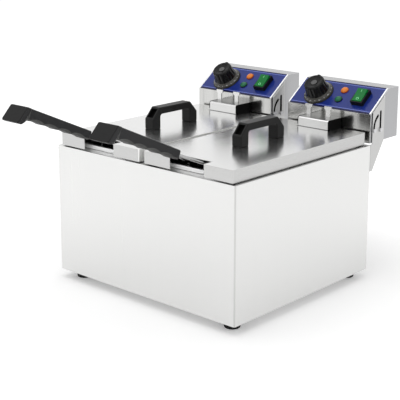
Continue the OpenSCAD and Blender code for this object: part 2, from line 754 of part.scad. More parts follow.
// Solid form of a basket, drawn in by t on every side and open at the top
module tub(t) {
    half_w = basket_w / 2 - t;
    low = basket_floor + t;
    top = t > 0 ? basket_rim + cut : basket_rim;
    rise = (top - low) / basket_h;
    intersection() {
        side_view(2 * basket_w) polygon([[basket_front + front_taper + t, low], [basket_back - back_taper - t, low],
            [basket_back - back_taper - t + rise * back_taper, top],
            [basket_front + front_taper + t - rise * front_taper, top]]);
        translate([0, basket_back + cut, 0]) rotate([90, 0, 0]) linear_extrude(basket_back - basket_front + 2 * cut)
            polygon([[side_taper - half_w, low], [half_w - side_taper, low],
                [half_w - side_taper + rise * side_taper, top], [side_taper - half_w - rise * side_taper, top]]);
    }
}
// Rows and columns of square openings that fill a face, about its middle
module mesh(w, l) {
    pitch = mesh_open + mesh_bar;
    columns = floor((w - mesh_bar) / pitch);
    rows = floor((l - mesh_bar) / pitch);
    for (i = [0:columns - 1], j = [0:rows - 1])
        translate([(i - (columns - 1) / 2) * pitch, (j - (rows - 1) / 2) * pitch]) square(mesh_open, center = true);
}
module basket(s) {
    top_l = basket_back - basket_front;
    low_l = top_l - front_taper - back_taper;
    low_w = basket_w - 2 * side_taper;
    low_mid = basket_front + front_taper + low_l / 2;
    wall_h = basket_h - rim_band;
    color("silver") at_tank(s) difference() {
        union() {
            tub(0);
            translate([0, (basket_front + basket_back) / 2, basket_rim - rim_band])
                slab(basket_w + 2 * rim_proud, top_l + 2 * rim_proud, 4, rim_band);
        }
        tub(basket_t);
        translate([0, basket_back + 2 * basket_t, basket_floor + wall_h / 2]) rotate([90, 0, 0])
            linear_extrude(top_l + 4 * basket_t) mesh(low_w - 2 * basket_t, wall_h);
        translate([-basket_w, low_mid, basket_floor + wall_h / 2]) rotate([90, 0, 90])
            linear_extrude(2 * basket_w) mesh(low_l - 2 * basket_t, wall_h);
        translate([0, low_mid, basket_floor - cut]) linear_extrude(basket_t + 2 * cut)
            mesh(low_w - 2 * basket_t, low_l - 2 * basket_t);
    }
}

// Direction of a grip, from its inner end outwards
grip_in = [0, -casing_d - grip_start, grip_start_z];
module basket_rods(s) {
    foot_x = 22;
    top_x = 7;
    wall_y = basket_front - rim_proud - rod_d / 2;
    over_rim = rim_h + rod_d;
    low_z = basket_rim - 16;
    buried = 30;
    tip = grip_in + buried * [0, -cos(grip_angle), sin(grip_angle)];
    half = [[foot_x, wall_y, low_z],
        [foot_x, wall_y, over_rim], [top_x, grip_in[1], grip_in[2]], [top_x, tip[1], tip[2]]];
    route = concat([for (i = [3:-1:0]) [-half[i][0], half[i][1], half[i][2]]], half);
    color("silver") at_tank(s) bar_along(rounded(route, 5, 3), rod_d, [1, 0, 0], 8);
}

module basket_grip(s) {
    waves = 4;
    first_wave = 14;
    wave_l = (grip_l - 2 * stop_t - first_wave) / waves;
    wave_d = 2.6;
    rod_hole = 30.5;
    top = grip_t / 2;
    stop_front = grip_l - 1.4 * stop_t;
    color("#303030") at_tank(s) translate(grip_in) rotate([-grip_angle, 0, 0]) rotate([0, 0, 180]) difference() {
        union() {
            side_view(grip_w) polygon(concat(
                [[0, top - 3], [3, top], [grip_l - lap, top], [grip_l - lap, -top - grip_swell]],
                [for (i = [waves - 1:-1:0], k = [5:-1:0]) let (x = first_wave + wave_l * (i + k / 6))
                    [x, -top - grip_swell * x / grip_l + wave_d * (1 - pow(2 * k / 6 - 1, 2))]],
                [[3, -top], [0, -top + 3]]));
            difference() {
                side_view(stop_w) polygon([[stop_front, top], [grip_l, top], [grip_l + stop_lean, -stop_low],
                    [grip_l + stop_lean - stop_t, -stop_low], [stop_front, -top - grip_swell]]);
                for (x = SIDES) translate([x * (stop_w / 2 - 4), 0, top]) rotate([0, -x * 8, 0])
                    translate([x > 0 ? 0 : -10, stop_front - cut, -2 * stop_low]) cube([10, 2 * stop_low, 2 * stop_low + cut]);
            }
        }
        for (x = [-7, 7]) translate([x, -cut, 0]) rotate([-90, 0, 0]) cylinder(h = rod_hole + cut, d = rod_d + 0.3);
    }
}

// ---- lid ----
lid_l = casing_d - lid_front - lid_back;
lid_mid = -lid_back - lid_l / 2;
lid_top = lid_gap + skirt_h;
hanger_play = 2.5;
handle_screw_d = 5;
handle_screws = (handle_l - handle_leg) / 2;
module lid(s) {
    strip_x = tank_w / 2 + tank_t + rim_w / 2;
    strip_l = 220;
    color("#e2e2e2") at_tank(s) {
        difference() {
            translate([0, lid_mid, lid_gap]) slab(lid_w, lid_l, 3, skirt_h);
            translate([0, lid_mid, lid_gap - cut]) slab(lid_w - 2 * lid_t, lid_l - 2 * lid_t, 2, skirt_h - lid_t + cut);
            translate([-notch_w / 2, -casing_d, lid_gap - cut]) cube([notch_w, lid_front + notch_l, skirt_h + 2 * cut]);
            translate([s * hanger_x - hanger_w / 2 - hanger_play, -hanger_d - hanger_play, lid_gap - cut])
                cube([hanger_w + 2 * hanger_play, hanger_d + hanger_play, skirt_h + 2 * cut]);
            for (y = SIDES) translate([0, lid_mid + y * handle_screws, lid_gap])
                cylinder(h = skirt_h + cut, d = handle_screw_d + 2 * fit);
        }
        for (x = SIDES) translate([x * strip_x - lid_t / 2, lid_mid - strip_l / 2, rim_h + seat])
            cube([lid_t, strip_l, lid_top - rim_h - seat - lid_t / 2]);
    }
}

module lid_handle(s) {
    foot = handle_l / 2;
    inner = foot - handle_leg;
    gap_h = handle_h - handle_bar;
    pocket = 6;
    corner = 5;
    color("#262626") at_tank(s) translate([0, lid_mid, lid_top]) difference() {
        side_view(handle_w) polygon([[-foot, 0], [-foot, handle_h - handle_chamfer - 2], [-foot + handle_chamfer, handle_h],
            [foot - handle_chamfer, handle_h], [foot, handle_h - handle_chamfer - 2], [foot, 0],
            [inner, 0], [inner, gap_h - corner], [inner - corner, gap_h],
            [-inner + corner, gap_h], [-inner, gap_h - corner], [-inner, 0]]);
        for (x = SIDES) translate([x * handle_w / 2, -foot + 4, handle_h - handle_chamfer - 4])
            rotate([45, 0, 0]) cube([pocket, pocket * 1.6, pocket * 1.2], center = true);
        for (y = SIDES) translate([0, y * handle_screws, -cut]) cylinder(h = 13 + cut, d = handle_screw_d + 2 * fit);
    }
}

module lid_screws(s) {
    color("silver") at_tank(s) for (y = SIDES) translate([0, lid_mid + y * handle_screws, lid_top - lid_t]) {
        translate([0, 0, -lap]) cylinder(h = 12 + lap, d = handle_screw_d);
        translate([0, 0, -3]) cylinder(h = 3, d = 2 * handle_screw_d);
    }
}

casing();
base_plate();
feet();
foot_screws();
for (s = SIDES) {
    tank(s);
    bracket(s);
    head_shell(s);
    back_cover(s);
    panel_plate(s);
    element_hanger(s);
    heating_element(s);
    element_guard(s);
    sensor_bulbs(s);
    thermostat(s);
    limiter(s);
    terminal_block(s);
    microswitch(s);
    cable_gland(s);
    lamp_orange(s);
    lamp_green(s);
    switch_frame(s);
    rocker(s);
    knob(s);
    knob_dial(s);
    reset_button(s);
    slot_studs(s);
    basket(s);
    basket_rods(s);
    basket_grip(s);
    lid(s);
    lid_handle(s);
    lid_screws(s);
}
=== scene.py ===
"""A counter-top deep fryer with two lift-out tanks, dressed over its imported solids.

Lengths in class fields are in millimetres, but for those of a finish and of the studio,
which are in metres. Assembly gives the matrices from a sub-assembly's own frame, in
millimetres, to the shared frame, in metres.
"""

import logging
import math
from dataclasses import dataclass
from enum import Enum
from functools import partial
from typing import Callable, Sequence

import bmesh
import bpy
from mathutils import Matrix, Vector


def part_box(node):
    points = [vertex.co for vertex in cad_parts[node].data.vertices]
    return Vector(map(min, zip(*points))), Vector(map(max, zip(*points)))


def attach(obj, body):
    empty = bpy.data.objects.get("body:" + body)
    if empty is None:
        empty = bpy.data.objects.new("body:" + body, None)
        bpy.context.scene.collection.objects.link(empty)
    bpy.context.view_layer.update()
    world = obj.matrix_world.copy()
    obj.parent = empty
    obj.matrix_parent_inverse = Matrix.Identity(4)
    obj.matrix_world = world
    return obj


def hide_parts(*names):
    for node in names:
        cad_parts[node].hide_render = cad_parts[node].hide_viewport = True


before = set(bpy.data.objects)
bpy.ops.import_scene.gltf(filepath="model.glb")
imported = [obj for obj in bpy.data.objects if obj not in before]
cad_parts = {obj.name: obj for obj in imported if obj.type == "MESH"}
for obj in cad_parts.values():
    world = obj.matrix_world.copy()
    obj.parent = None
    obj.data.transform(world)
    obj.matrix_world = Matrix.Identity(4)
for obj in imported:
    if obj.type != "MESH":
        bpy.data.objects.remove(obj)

LOG = logging.getLogger("fryer")
MM = 0.001
Point = tuple[float, float, float]
Flat = tuple[float, float]
Colour = tuple[float, float, float]


class Side(Enum):
    """Which of the two tanks a sub-assembly belongs to."""

    LEFT = "left"
    RIGHT = "right"

    def node(self, name: str) -> str:
        """Name of this side's solid or piece of that kind."""
        return f"{name}_{self.value}"

    def body(self, name: str) -> str:
        """Name of this side's moving body."""
        return f"{name}_{self.value}_body"


class Grain(Enum):
    """Direction in which a sheet was brushed, as the stretch of its pattern."""

    UPRIGHT = (1.0, 1.0, 0.012)
    LENGTHWISE = (1.0, 0.012, 1.0)
    CROSSWISE = (0.012, 1.0, 1.0)
    LEVEL = (0.012, 0.012, 1.0)
    EVEN = (0.35, 0.35, 0.35)


# ---- shapes ----


def arc(x: float, y: float, r: float, start: float, end: float, steps: int) -> list[Flat]:
    """Points of an arc.

    Args:
        x, y: Its centre.
        r: Its radius.
        start, end: Its angles in degrees.
        steps: Number of chords.

    Returns:
        The points, both ends included.
    """
    turns = [math.radians(start + (end - start) * i / steps) for i in range(steps + 1)]
    return [(x + r * math.cos(a), y + r * math.sin(a)) for a in turns]


def rounded(route: Sequence[Point], r: float, steps: int = 8) -> list[Vector]:
    """A route with each corner rounded.

    Args:
        route: Its corner points.
        r: Radius at every corner.
        steps: Number of chords in a corner.

    Returns:
        The points of the smooth route.
    """
    points = [Vector(p) for p in route]
    out = [points[0]]
    for before, corner, after in zip(points, points[1:], points[2:]):
        a, b = (before - corner).normalized(), (after - corner).normalized()
        half = a.angle(b) / 2
        if half > math.radians(89):
            out.append(corner)
            continue
        centre = corner + (a + b).normalized() * r / math.sin(half)
        foot = r / math.tan(half)
        start = (corner + a * foot) - centre
        turn = math.pi - 2 * half
        axis = start.cross((corner + b * foot) - centre).normalized()
        out += [centre + Matrix.Rotation(turn * k / steps, 3, axis) @ start
                for k in range(steps + 1)]
    return out + [points[-1]]


def bridge(half: list[Point]) -> list[Point]:
    """A route with its mirror image in X laid before it, end to end."""
    return [(-x, y, z) for x, y, z in half[::-1]] + half


def mid(face: bmesh.types.BMFace) -> Vector:
    """Middle of a face."""
    return face.calc_center_median()


def show(name: str, data: bpy.types.ID) -> bpy.types.Object:
    """Makes an object of its data and links it into the scene."""
    made = bpy.data.objects.new(name, data)
    bpy.context.scene.collection.objects.link(made)
    return made


class Shape:
    """A mesh under construction, in the millimetres of one frame or in shared metres."""

    def __init__(self) -> None:
        """Starts with nothing."""
        self.mesh = bmesh.new()

    @classmethod
    def of_node(cls, node: str) -> "Shape":
        """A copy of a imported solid, with its flat faces joined up again.

        Args:
            node: Name of the solid.

        Returns:
            The shape, in metres.
        """
        shape = cls()
        shape.mesh.from_mesh(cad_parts[node].data)
        bmesh.ops.remove_doubles(shape.mesh, verts=shape.mesh.verts, dist=2e-6)
        bmesh.ops.dissolve_limit(shape.mesh, angle_limit=math.radians(0.6),
                                 verts=shape.mesh.verts, edges=shape.mesh.edges)
        return shape

    def turned(self, profile: Sequence[Flat], sides: int = 64, place: Matrix | None = None) -> list:
        """Adds a turned form about +Z.

        Args:
            profile: Radius and height of each point, from one end to the other.
            sides: Steps of the full turn.
            place: Matrix laid over it.

        Returns:
            Its vertices.
        """
        verts = [self.mesh.verts.new((r, 0, z)) for r, z in profile]
        edges = [self.mesh.edges.new(pair) for pair in zip(verts, verts[1:])]
        known = set(self.mesh.verts) - set(verts)
        bmesh.ops.spin(self.mesh, geom=verts + edges, cent=(0, 0, 0), axis=(0, 0, 1),
                       angle=2 * math.pi, steps=sides, use_merge=True)
        made = [v for v in self.mesh.verts if v not in known]
        bmesh.ops.remove_doubles(self.mesh, verts=made, dist=1e-4)
        made = [v for v in self.mesh.verts if v not in known]
        if place:
            bmesh.ops.transform(self.mesh, matrix=place, verts=made)
        return made

    def side_view(self, outline: Sequence[Flat], width: float, middle: float = 0.0) -> None:
        """Adds a prism from its outline in Y and Z.

        Args:
            outline: Its points in Y and Z.
            width: Its width in X.
            middle: X of its middle.
        """
        verts = [self.mesh.verts.new((middle - width / 2, y, z)) for y, z in outline]
        face = self.mesh.faces.new(verts)
        swept = bmesh.ops.extrude_face_region(self.mesh, geom=[face])["geom"]
        bmesh.ops.translate(self.mesh, vec=(width, 0, 0),
                            verts=[g for g in swept if isinstance(g, bmesh.types.BMVert)])

    def loft(self, rings: Sequence[Sequence[Point]]) -> None:
        """Adds a closed skin through rings of points.

        Args:
            rings: Points of each ring, all rings with the same number of points.
        """
        before: list = []
        for index, ring in enumerate(rings):
            verts = bmesh.ops.create_circle(self.mesh, segments=len(ring), radius=1,
                                            cap_ends=index in (0, len(rings) - 1))["verts"]
            for vert, point in zip(verts, ring):
                vert.co = point
            edges = [e for e in {e for v in verts for e in v.link_edges}
                     if all(v in verts for v in e.verts)]
            if before:
                bmesh.ops.bridge_loops(self.mesh, edges=before + edges)
            before = edges

    def add(self, other: bpy.types.Mesh, place: Matrix, index: int = 0) -> None:
        """Takes over another mesh, laid over by a matrix, in the finish of a number."""
        known_verts, known_faces = set(self.mesh.verts), set(self.mesh.faces)
        self.mesh.from_mesh(other)
        made = [v for v in self.mesh.verts if v not in known_verts]
        bmesh.ops.transform(self.mesh, matrix=place, verts=made)
        for face in set(self.mesh.faces) - known_faces:
            face.material_index = index
        bpy.data.meshes.remove(other)

    def letter(self, text: str, height: float, place: Matrix, thick: float, index: int) -> None:
        """Adds a raised figure or sign about a point.

        Args:
            text: What it says.
            height: Its height.
            place: The frame it lies in, +Z out of the surface.
            thick: How far it stands out.
            index: Number of its finish.
        """
        curve = bpy.data.curves.new("figure", "FONT")
        curve.body, curve.size, curve.extrude = text, height / 0.72, thick / 2
        curve.align_x, curve.align_y, curve.resolution_u = "CENTER", "CENTER", 3
        holder = bpy.data.objects.new("figure", curve)
        data = bpy.data.meshes.new_from_object(holder)
        self.add(data, place @ Matrix.Translation((0, 0, thick / 2)), index)
        bpy.data.objects.remove(holder)
        bpy.data.curves.remove(curve)

    def move(self, place: Matrix) -> "Shape":
        """Lays a matrix over the shape."""
        bmesh.ops.transform(self.mesh, matrix=place, verts=self.mesh.verts)
        return self

    def soften(self, width: float, segments: int = 2, sharper: float = 60.0,
               where: Callable[[Vector], bool] | None = None) -> "Shape":
        """Bevels the edges at which the surface turns.

        Args:
            width: Width of the bevel.
            segments: Steps of the bevel.
            sharper: Least turn of a bevelled edge, in degrees.
            where: Test of an edge's middle; without it, every edge counts.

        Returns:
            The shape itself.
        """
        self.mesh.normal_update()
        limit = math.radians(sharper)
        edges = [e for e in self.mesh.edges
                 if len(e.link_faces) == 2 and e.calc_face_angle(0) > limit
                 and (where is None or where((e.verts[0].co + e.verts[1].co) / 2))]
        bmesh.ops.bevel(self.mesh, geom=edges, offset=width, offset_type="OFFSET",
                        segments=segments, profile=0.5, affect="EDGES", clamp_overlap=True,
                        material=-1)
        return self

    def split(self, point: Point, normal: Point) -> None:
        """Cuts the faces along a plane and leaves them joined."""
        whole = [*self.mesh.verts, *self.mesh.edges, *self.mesh.faces]
        bmesh.ops.bisect_plane(self.mesh, geom=whole, plane_co=point, plane_no=normal, dist=1e-6)

    def paint(self, index: int, where: Callable[[bmesh.types.BMFace], bool]) -> None:
        """Gives the faces that pass a test the finish of that number."""
        bmesh.ops.recalc_face_normals(self.mesh, faces=self.mesh.faces)
        for face in self.mesh.faces:
            if where(face):
                face.material_index = index

    def as_object(self, name: str, place: Matrix | None = None,
                  crease: float = 35.0) -> bpy.types.Object:
        """Makes the finished object.

        Args:
            name: Its name.
            place: The frame it was built in; none if it is in metres already.
            crease: Turn above which an edge stays sharp, in degrees.

        Returns:
            The object, at the origin.
        """
        if place:
            self.move(place)
        bmesh.ops.recalc_face_normals(self.mesh, faces=self.mesh.faces)
        self.mesh.normal_update()
        limit = math.cos(math.radians(crease))
        normals = []
        for f in self.mesh.faces:
            f.smooth = True
            for loop in f.loops:
                total = Vector()
                for other in loop.vert.link_faces:
                    if other.normal.dot(f.normal) >= limit:
                        total += other.normal * other.calc_area()
                normals.append(total.normalized() if total.length > 0 else f.normal.copy())
        data = bpy.data.meshes.new(name)
        self.mesh.to_mesh(data)
        self.mesh.free()
        data.set_sharp_from_angle(angle=math.radians(crease))
        data.normals_split_custom_set(normals)
        return show(name, data)


def bars(name: str, routes: Sequence[Sequence[Vector]], diameter: float, place: Matrix,
         roundness: int = 3, closed: bool = False) -> bpy.types.Object:
    """Makes round bars or wires along routes, as one curve object.

    Args:
        name: Name of the object.
        routes: Points of each bar, in millimetres of the frame.
        diameter: Thickness of the bars in millimetres.
        place: The frame.
        roundness: Blender's bevel resolution.
        closed: Whether each bar meets its own start.

    Returns:
        The object.
    """
    curve = bpy.data.curves.new(name, "CURVE")
    curve.dimensions = "3D"
    curve.bevel_depth = diameter / 2 * MM
    curve.bevel_resolution = roundness
    curve.use_fill_caps = True
    for route in routes:
        spline = curve.splines.new("POLY")
        spline.points.add(len(route) - 1)
        for target, point in zip(spline.points, route):
            target.co = (*(place @ Vector(point)), 1)
        spline.use_smooth = True
        spline.use_cyclic_u = closed
    return show(name, curve)


# ---- finishes ----


class Tree:
    """A node tree under construction."""

    def __init__(self, tree: bpy.types.NodeTree) -> None:
        """Works on a tree that exists."""
        self.nodes, self.link = tree.nodes, tree.links.new

    def feed(self, node: bpy.types.Node, *values: object, **named: object) -> bpy.types.Node:
        """Links a socket, or sets a value, on each input that is given.

        Args:
            node: The node.
            values: What its first inputs get.
            named: What other inputs get, an underscore in a name for a space.

        Returns:
            The node.
        """
        for key, value in [*enumerate(values), *named.items()]:
            socket = node.inputs[key if isinstance(key, int) else key.replace("_", " ")]
            if isinstance(value, bpy.types.NodeSocket):
                self.link(value, socket)
            else:
                socket.default_value = (*value, 1.0) if socket.type == "RGBA" else value
        return node

    def add(self, kind: str, *values: object, **named: object) -> bpy.types.Node:
        """Adds a shader node of a kind and feeds it."""
        return self.feed(self.nodes.new(f"ShaderNode{kind}"), *values, **named)

    def maths(self, operation: str, *values: object) -> bpy.types.NodeSocket:
        """The result of an operation on values or sockets."""
        node = self.add("Math", *values)
        node.operation = operation
        return node.outputs["Value"]


class Effect(Enum):
    """Surface effects that several finishes share, each one node group.

    Each gives the scales of a fine and a broad noise, and the share of the broad one.
    """

    BRUSHING = (1400.0, 60.0, 0.45)
    STIPPLE = (2600.0, 90.0, 0.3)

    def group(self) -> bpy.types.NodeTree:
        """Its group from a position to a pale mask and a height, made on first use."""
        known = bpy.data.node_groups.get(self.name.lower())
        if known:
            return known
        group = bpy.data.node_groups.new(self.name.lower(), "ShaderNodeTree")
        for name, way, kind in (("Position", "INPUT", "Vector"), ("Mask", "OUTPUT", "Float"),
                                ("Height", "OUTPUT", "Float")):
            group.interface.new_socket(name, in_out=way, socket_type=f"NodeSocket{kind}")
        tree = Tree(group)
        place = tree.nodes.new("NodeGroupInput").outputs["Position"]
        fine_scale, broad_scale, share = self.value
        fine = tree.add("TexNoise", Vector=place, Scale=fine_scale, Detail=4.0, Roughness=0.62)
        broad = tree.add("TexNoise", Vector=place, Scale=broad_scale, Detail=3.0)
        blend = tree.add("Mix", Factor=share, A=fine.outputs["Fac"], B=broad.outputs["Fac"])
        tree.feed(tree.nodes.new("NodeGroupOutput"), Mask=blend.outputs["Result"],
                  Height=fine.outputs["Fac"])
        return group


class Mixer(Tree):
    """A material under construction."""

    def __init__(self, name: str) -> None:
        """Starts an empty material with its shader."""
        self.material = bpy.data.materials.new(name)
        self.material.use_nodes = True
        super().__init__(self.material.node_tree)
        self.shader = self.nodes["Principled BSDF"]


MASK_ENDS = (0.3, 0.7)


@dataclass(frozen=True)
class Finish:
    """A finish, made into a material on first use.

    Its tone and gloss play about their middle, and its surface rises by a depth in
    metres, by the pattern of one effect.
    """

    name: str
    tint: Colour
    rough: float
    play: float
    tone: float
    depth: float

    def material(self) -> bpy.types.Material:
        """The material of this finish."""
        if self not in MADE:
            mixer = Mixer(self.name)
            self.mix(mixer)
            MADE[self] = mixer.material
        return MADE[self]

    def mix(self, mixer: Mixer) -> None:
        """Builds the nodes."""
        raise NotImplementedError

    def skin(self, mixer: Mixer, effect: Effect, strength: float, stretch: Point) -> None:
        """Runs an effect into tone, gloss and height.

        Args:
            mixer: The material.
            effect: The effect.
            strength: Share of the height that shows.
            stretch: Stretch of the pattern along each axis.
        """
        start = mixer.add("TexCoord")
        place = mixer.add("Mapping", Vector=start.outputs["Object"], Scale=stretch)
        pattern = mixer.add("Group")
        pattern.node_tree = effect.group()
        mixer.feed(pattern, Position=place.outputs["Vector"])
        mask = pattern.outputs["Mask"]
        ramp = mixer.add("ValToRGB", Fac=mask)
        for element, at, share in zip(ramp.color_ramp.elements, MASK_ENDS, (-self.tone, self.tone)):
            element.position = at
            element.color = (*(min(c * (1 + share), 1.0) for c in self.tint), 1)
        gloss = mixer.add("MapRange", Value=mask, From_Min=MASK_ENDS[0], From_Max=MASK_ENDS[1],
                          To_Min=self.rough - self.play, To_Max=self.rough + self.play)
        bump = mixer.add("Bump", Height=pattern.outputs["Height"], Strength=strength,
                         Distance=self.depth)
        mixer.feed(mixer.shader, Base_Color=ramp.outputs["Color"],
                   Roughness=gloss.outputs["Result"], Normal=bump.outputs["Normal"])


MADE: dict[Finish, bpy.types.Material] = {}


@dataclass(frozen=True)
class BrushedSteel(Finish):
    """Stainless sheet or bar with the marks of brushing."""

    rough: float = 0.3
    play: float = 0.08
    tone: float = 0.04
    depth: float = 0.00001
    grain: Grain = Grain.UPRIGHT

    def mix(self, mixer: Mixer) -> None:
        """Streaks along the grain."""
        mixer.feed(mixer.shader, Metallic=1.0)
        self.skin(mixer, Effect.BRUSHING, 0.35, self.grain.value)


@dataclass(frozen=True)
class Moulded(Finish):
    """Moulded plastic or rubber with a fine stipple."""

    rough: float = 0.45
    play: float = 0.06
    tone: float = 0.15
    depth: float = 0.00004
    shine: float = 0.3
    glow: float = 0.0

    def mix(self, mixer: Mixer) -> None:
        """A stippled skin, with a glow where it has one."""
        mixer.feed(mixer.shader, Specular_IOR_Level=self.shine)
        self.skin(mixer, Effect.STIPPLE, 0.4, (1, 1, 1))
        if self.glow:
            mixer.feed(mixer.shader, Emission_Color=self.tint, Emission_Strength=self.glow)


CASING = BrushedSteel("casing_steel", (0.735, 0.735, 0.727), 0.34, tone=0.015)
# Painted shade: a darker copy of the casing steel for the rounded upright corners.
CASING_BEND_SHADE = BrushedSteel("casing_bend_painted_shade", (0.56, 0.56, 0.55), 0.34, tone=0.02)
# Painted shade: the deck is a darker copy of the casing steel, for the shade under and between the
# lids.
DECK_SHADE = BrushedSteel("deck_painted_shade", (0.68, 0.68, 0.675), 0.2, 0.04, 0.01, grain=Grain.CROSSWISE)
LID_TOP = BrushedSteel("lid_top_steel", (0.775, 0.775, 0.77), 0.2, 0.02, 0.012, 0.000004,
                       Grain.LENGTHWISE)
# Painted shade: the lid's upright faces are a darker copy of its steel.
LID_SKIRT_SHADE = BrushedSteel("lid_skirt_painted_shade", (0.535, 0.535, 0.53), 0.3, tone=0.08, grain=Grain.LEVEL)
# Painted light: a paler copy of the lid steel for the faces toward the other lid, against the shade
# in the gap between them.
LID_INNER_LIGHT = BrushedSteel("lid_inner_painted_light", (0.93, 0.93, 0.92), 0.5, tone=0.02,
                         grain=Grain.LENGTHWISE)
# Painted reflection: strong upright bands of tone in the head's front steel.
HEAD_FRONT_REFLECTION = BrushedSteel("head_front_painted_reflection", (0.53, 0.53, 0.518), 0.14, 0.05, 0.22)
# Painted shade: a darker copy of the head steel for its sides, top and back.
HEAD_SIDE_SHADE = BrushedSteel("head_side_painted_shade", (0.415, 0.417, 0.425), 0.3, 0.05, 0.03)
# Painted highlight: white steel for the front of the tank's rim.
RIM_HIGHLIGHT = BrushedSteel("painted_rim_highlight", (1.0, 1.0, 1.0), 0.8, tone=0.01, grain=Grain.EVEN)
# Painted highlight: near-white steel for the head's small bevels and the panel's bare side strips.
EDGE_HIGHLIGHT = BrushedSteel("painted_edge_highlight", (0.95, 0.95, 0.95), 0.5, tone=0.01, grain=Grain.EVEN)
BRACKET = BrushedSteel("bracket_steel", (0.53, 0.53, 0.525), 0.32, tone=0.03)
COVER = BrushedSteel("cover_steel", (0.58, 0.58, 0.57), 0.36, tone=0.03, grain=Grain.CROSSWISE)
HANGER = BrushedSteel("hanger_steel", (0.68, 0.68, 0.675), 0.22, 0.04, 0.05, grain=Grain.CROSSWISE)
# Painted shade: a darker copy of the hanger steel for its top.
HANGER_TOP_SHADE = BrushedSteel("hanger_top_painted_shade", (0.36, 0.36, 0.355), 0.3, 0.04, 0.12,
                          grain=Grain.CROSSWISE)
TANK = BrushedSteel("tank_steel", (0.66, 0.66, 0.655), 0.3, tone=0.04)
ROD = BrushedSteel("plated_rod", (0.45, 0.45, 0.45), 0.25, 0.05, 0.05, grain=Grain.EVEN)
WIRE = BrushedSteel("plated_wire", (0.7, 0.7, 0.7), 0.2, 0.05, 0.05, grain=Grain.EVEN)
ZINC = BrushedSteel("zinc_plate", (0.6, 0.6, 0.61), 0.3, 0.08, 0.08, grain=Grain.EVEN)
SHEATH = BrushedSteel("element_sheath", (0.2, 0.185, 0.17), 0.45, 0.1, 0.25, 0.00003, Grain.EVEN)
COPPER = BrushedSteel("copper_tube", (0.72, 0.4, 0.25), 0.32, 0.08, 0.1, grain=Grain.EVEN)
FILM = Moulded("panel_film", (0.012, 0.03, 0.22), 0.22, 0.04, 0.04, 0.000006)
FILM_EDGE = Moulded("panel_film_edge", (0.004, 0.006, 0.075), 0.22, 0.04, 0.05, 0.000006)
FILM_LINE = Moulded("panel_film_line", (0.15, 0.2, 0.6), 0.22, 0.04, 0.04, 0.000006)
BLACK = Moulded("black_plastic", (0.005, 0.005, 0.005), 0.3, shine=0.2)
# Painted shade: dead black for the insides of the handle's screw pockets, the strips behind the
# bracket's slots and the plates at the housing's ends.
SHADE_BLACK = Moulded("painted_shade_black", (0.004, 0.004, 0.004), 0.8, shine=0.05)
HANDLE = Moulded("handle_plastic", (0.01, 0.01, 0.01), 0.4, shine=0.16)
GRIP = Moulded("grip_plastic", (0.026, 0.026, 0.027), 0.5, shine=0.2)
# Painted shade: a darker copy of the grip plastic for its end face.
GRIP_END_SHADE = Moulded("grip_end_painted_shade", (0.013, 0.013, 0.013), 0.4, shine=0.12)
# Painted reflection: a paler copy of the grip plastic for facets that look down or back along the
# grip.
GRIP_LIP_REFLECTION = Moulded("grip_lip_painted_reflection", (0.07, 0.07, 0.068), 0.45, shine=0.25)
KNOB = Moulded("knob_plastic", (0.003, 0.003, 0.003), 0.2, 0.05, shine=0.16)
# Painted reflection: a paler brownish black for the knob's flared skirt.
SKIRT_REFLECTION = Moulded("knob_skirt_painted_reflection", (0.045, 0.043, 0.036), 0.16, 0.04, shine=0.45)
CAP = Moulded("knob_cap", (0.1, 0.1, 0.1), 0.3)
DIAL = Moulded("dial_ring", (0.02, 0.019, 0.016), 0.25)
PRINT = Moulded("pale_print", (0.62, 0.62, 0.6), 0.5)
CREAM = Moulded("cream_plastic", (0.68, 0.63, 0.5), 0.45)
RUBBER = Moulded("foot_rubber", (0.008, 0.008, 0.008), 0.62, shine=0.15)
AMBER = Moulded("amber_lens", (0.78, 0.22, 0.025), 0.18, 0.05, 0.1, glow=0.08)
AMBER_RIM = Moulded("amber_rim", (0.33, 0.045, 0.008), 0.2, 0.05, 0.1)
LEAF = Moulded("green_lens", (0.006, 0.13, 0.055), 0.18, 0.05, 0.1, shine=0.3, glow=0.05)
ROCKER = Moulded("green_rocker", (0.003, 0.16, 0.03), 0.24, 0.05, 0.1, shine=0.16, glow=0.12)
ROCKER_SIGN = Moulded("rocker_sign", (0.25, 0.75, 0.35), 0.4, glow=0.3)
SCARLET = Moulded("red_button", (0.6, 0.02, 0.02), 0.25, shine=0.5)


def settle(piece: bpy.types.Object, body: str, finishes: Sequence[Finish],
           nodes: Sequence[str] = ()) -> None:
    """Dresses a piece, hangs it on its body and lets it stand for solids.

    Args:
        piece: The piece.
        body: Name of the body it rides on.
        finishes: Its finishes, in the order of its face numbers.
        nodes: Solids that it stands for.
    """
    for finish in finishes:
        piece.data.materials.append(finish.material())
    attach(piece, body)
    if nodes:
        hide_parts(*nodes)
    LOG.info("%s rides on %s", piece.name, body)


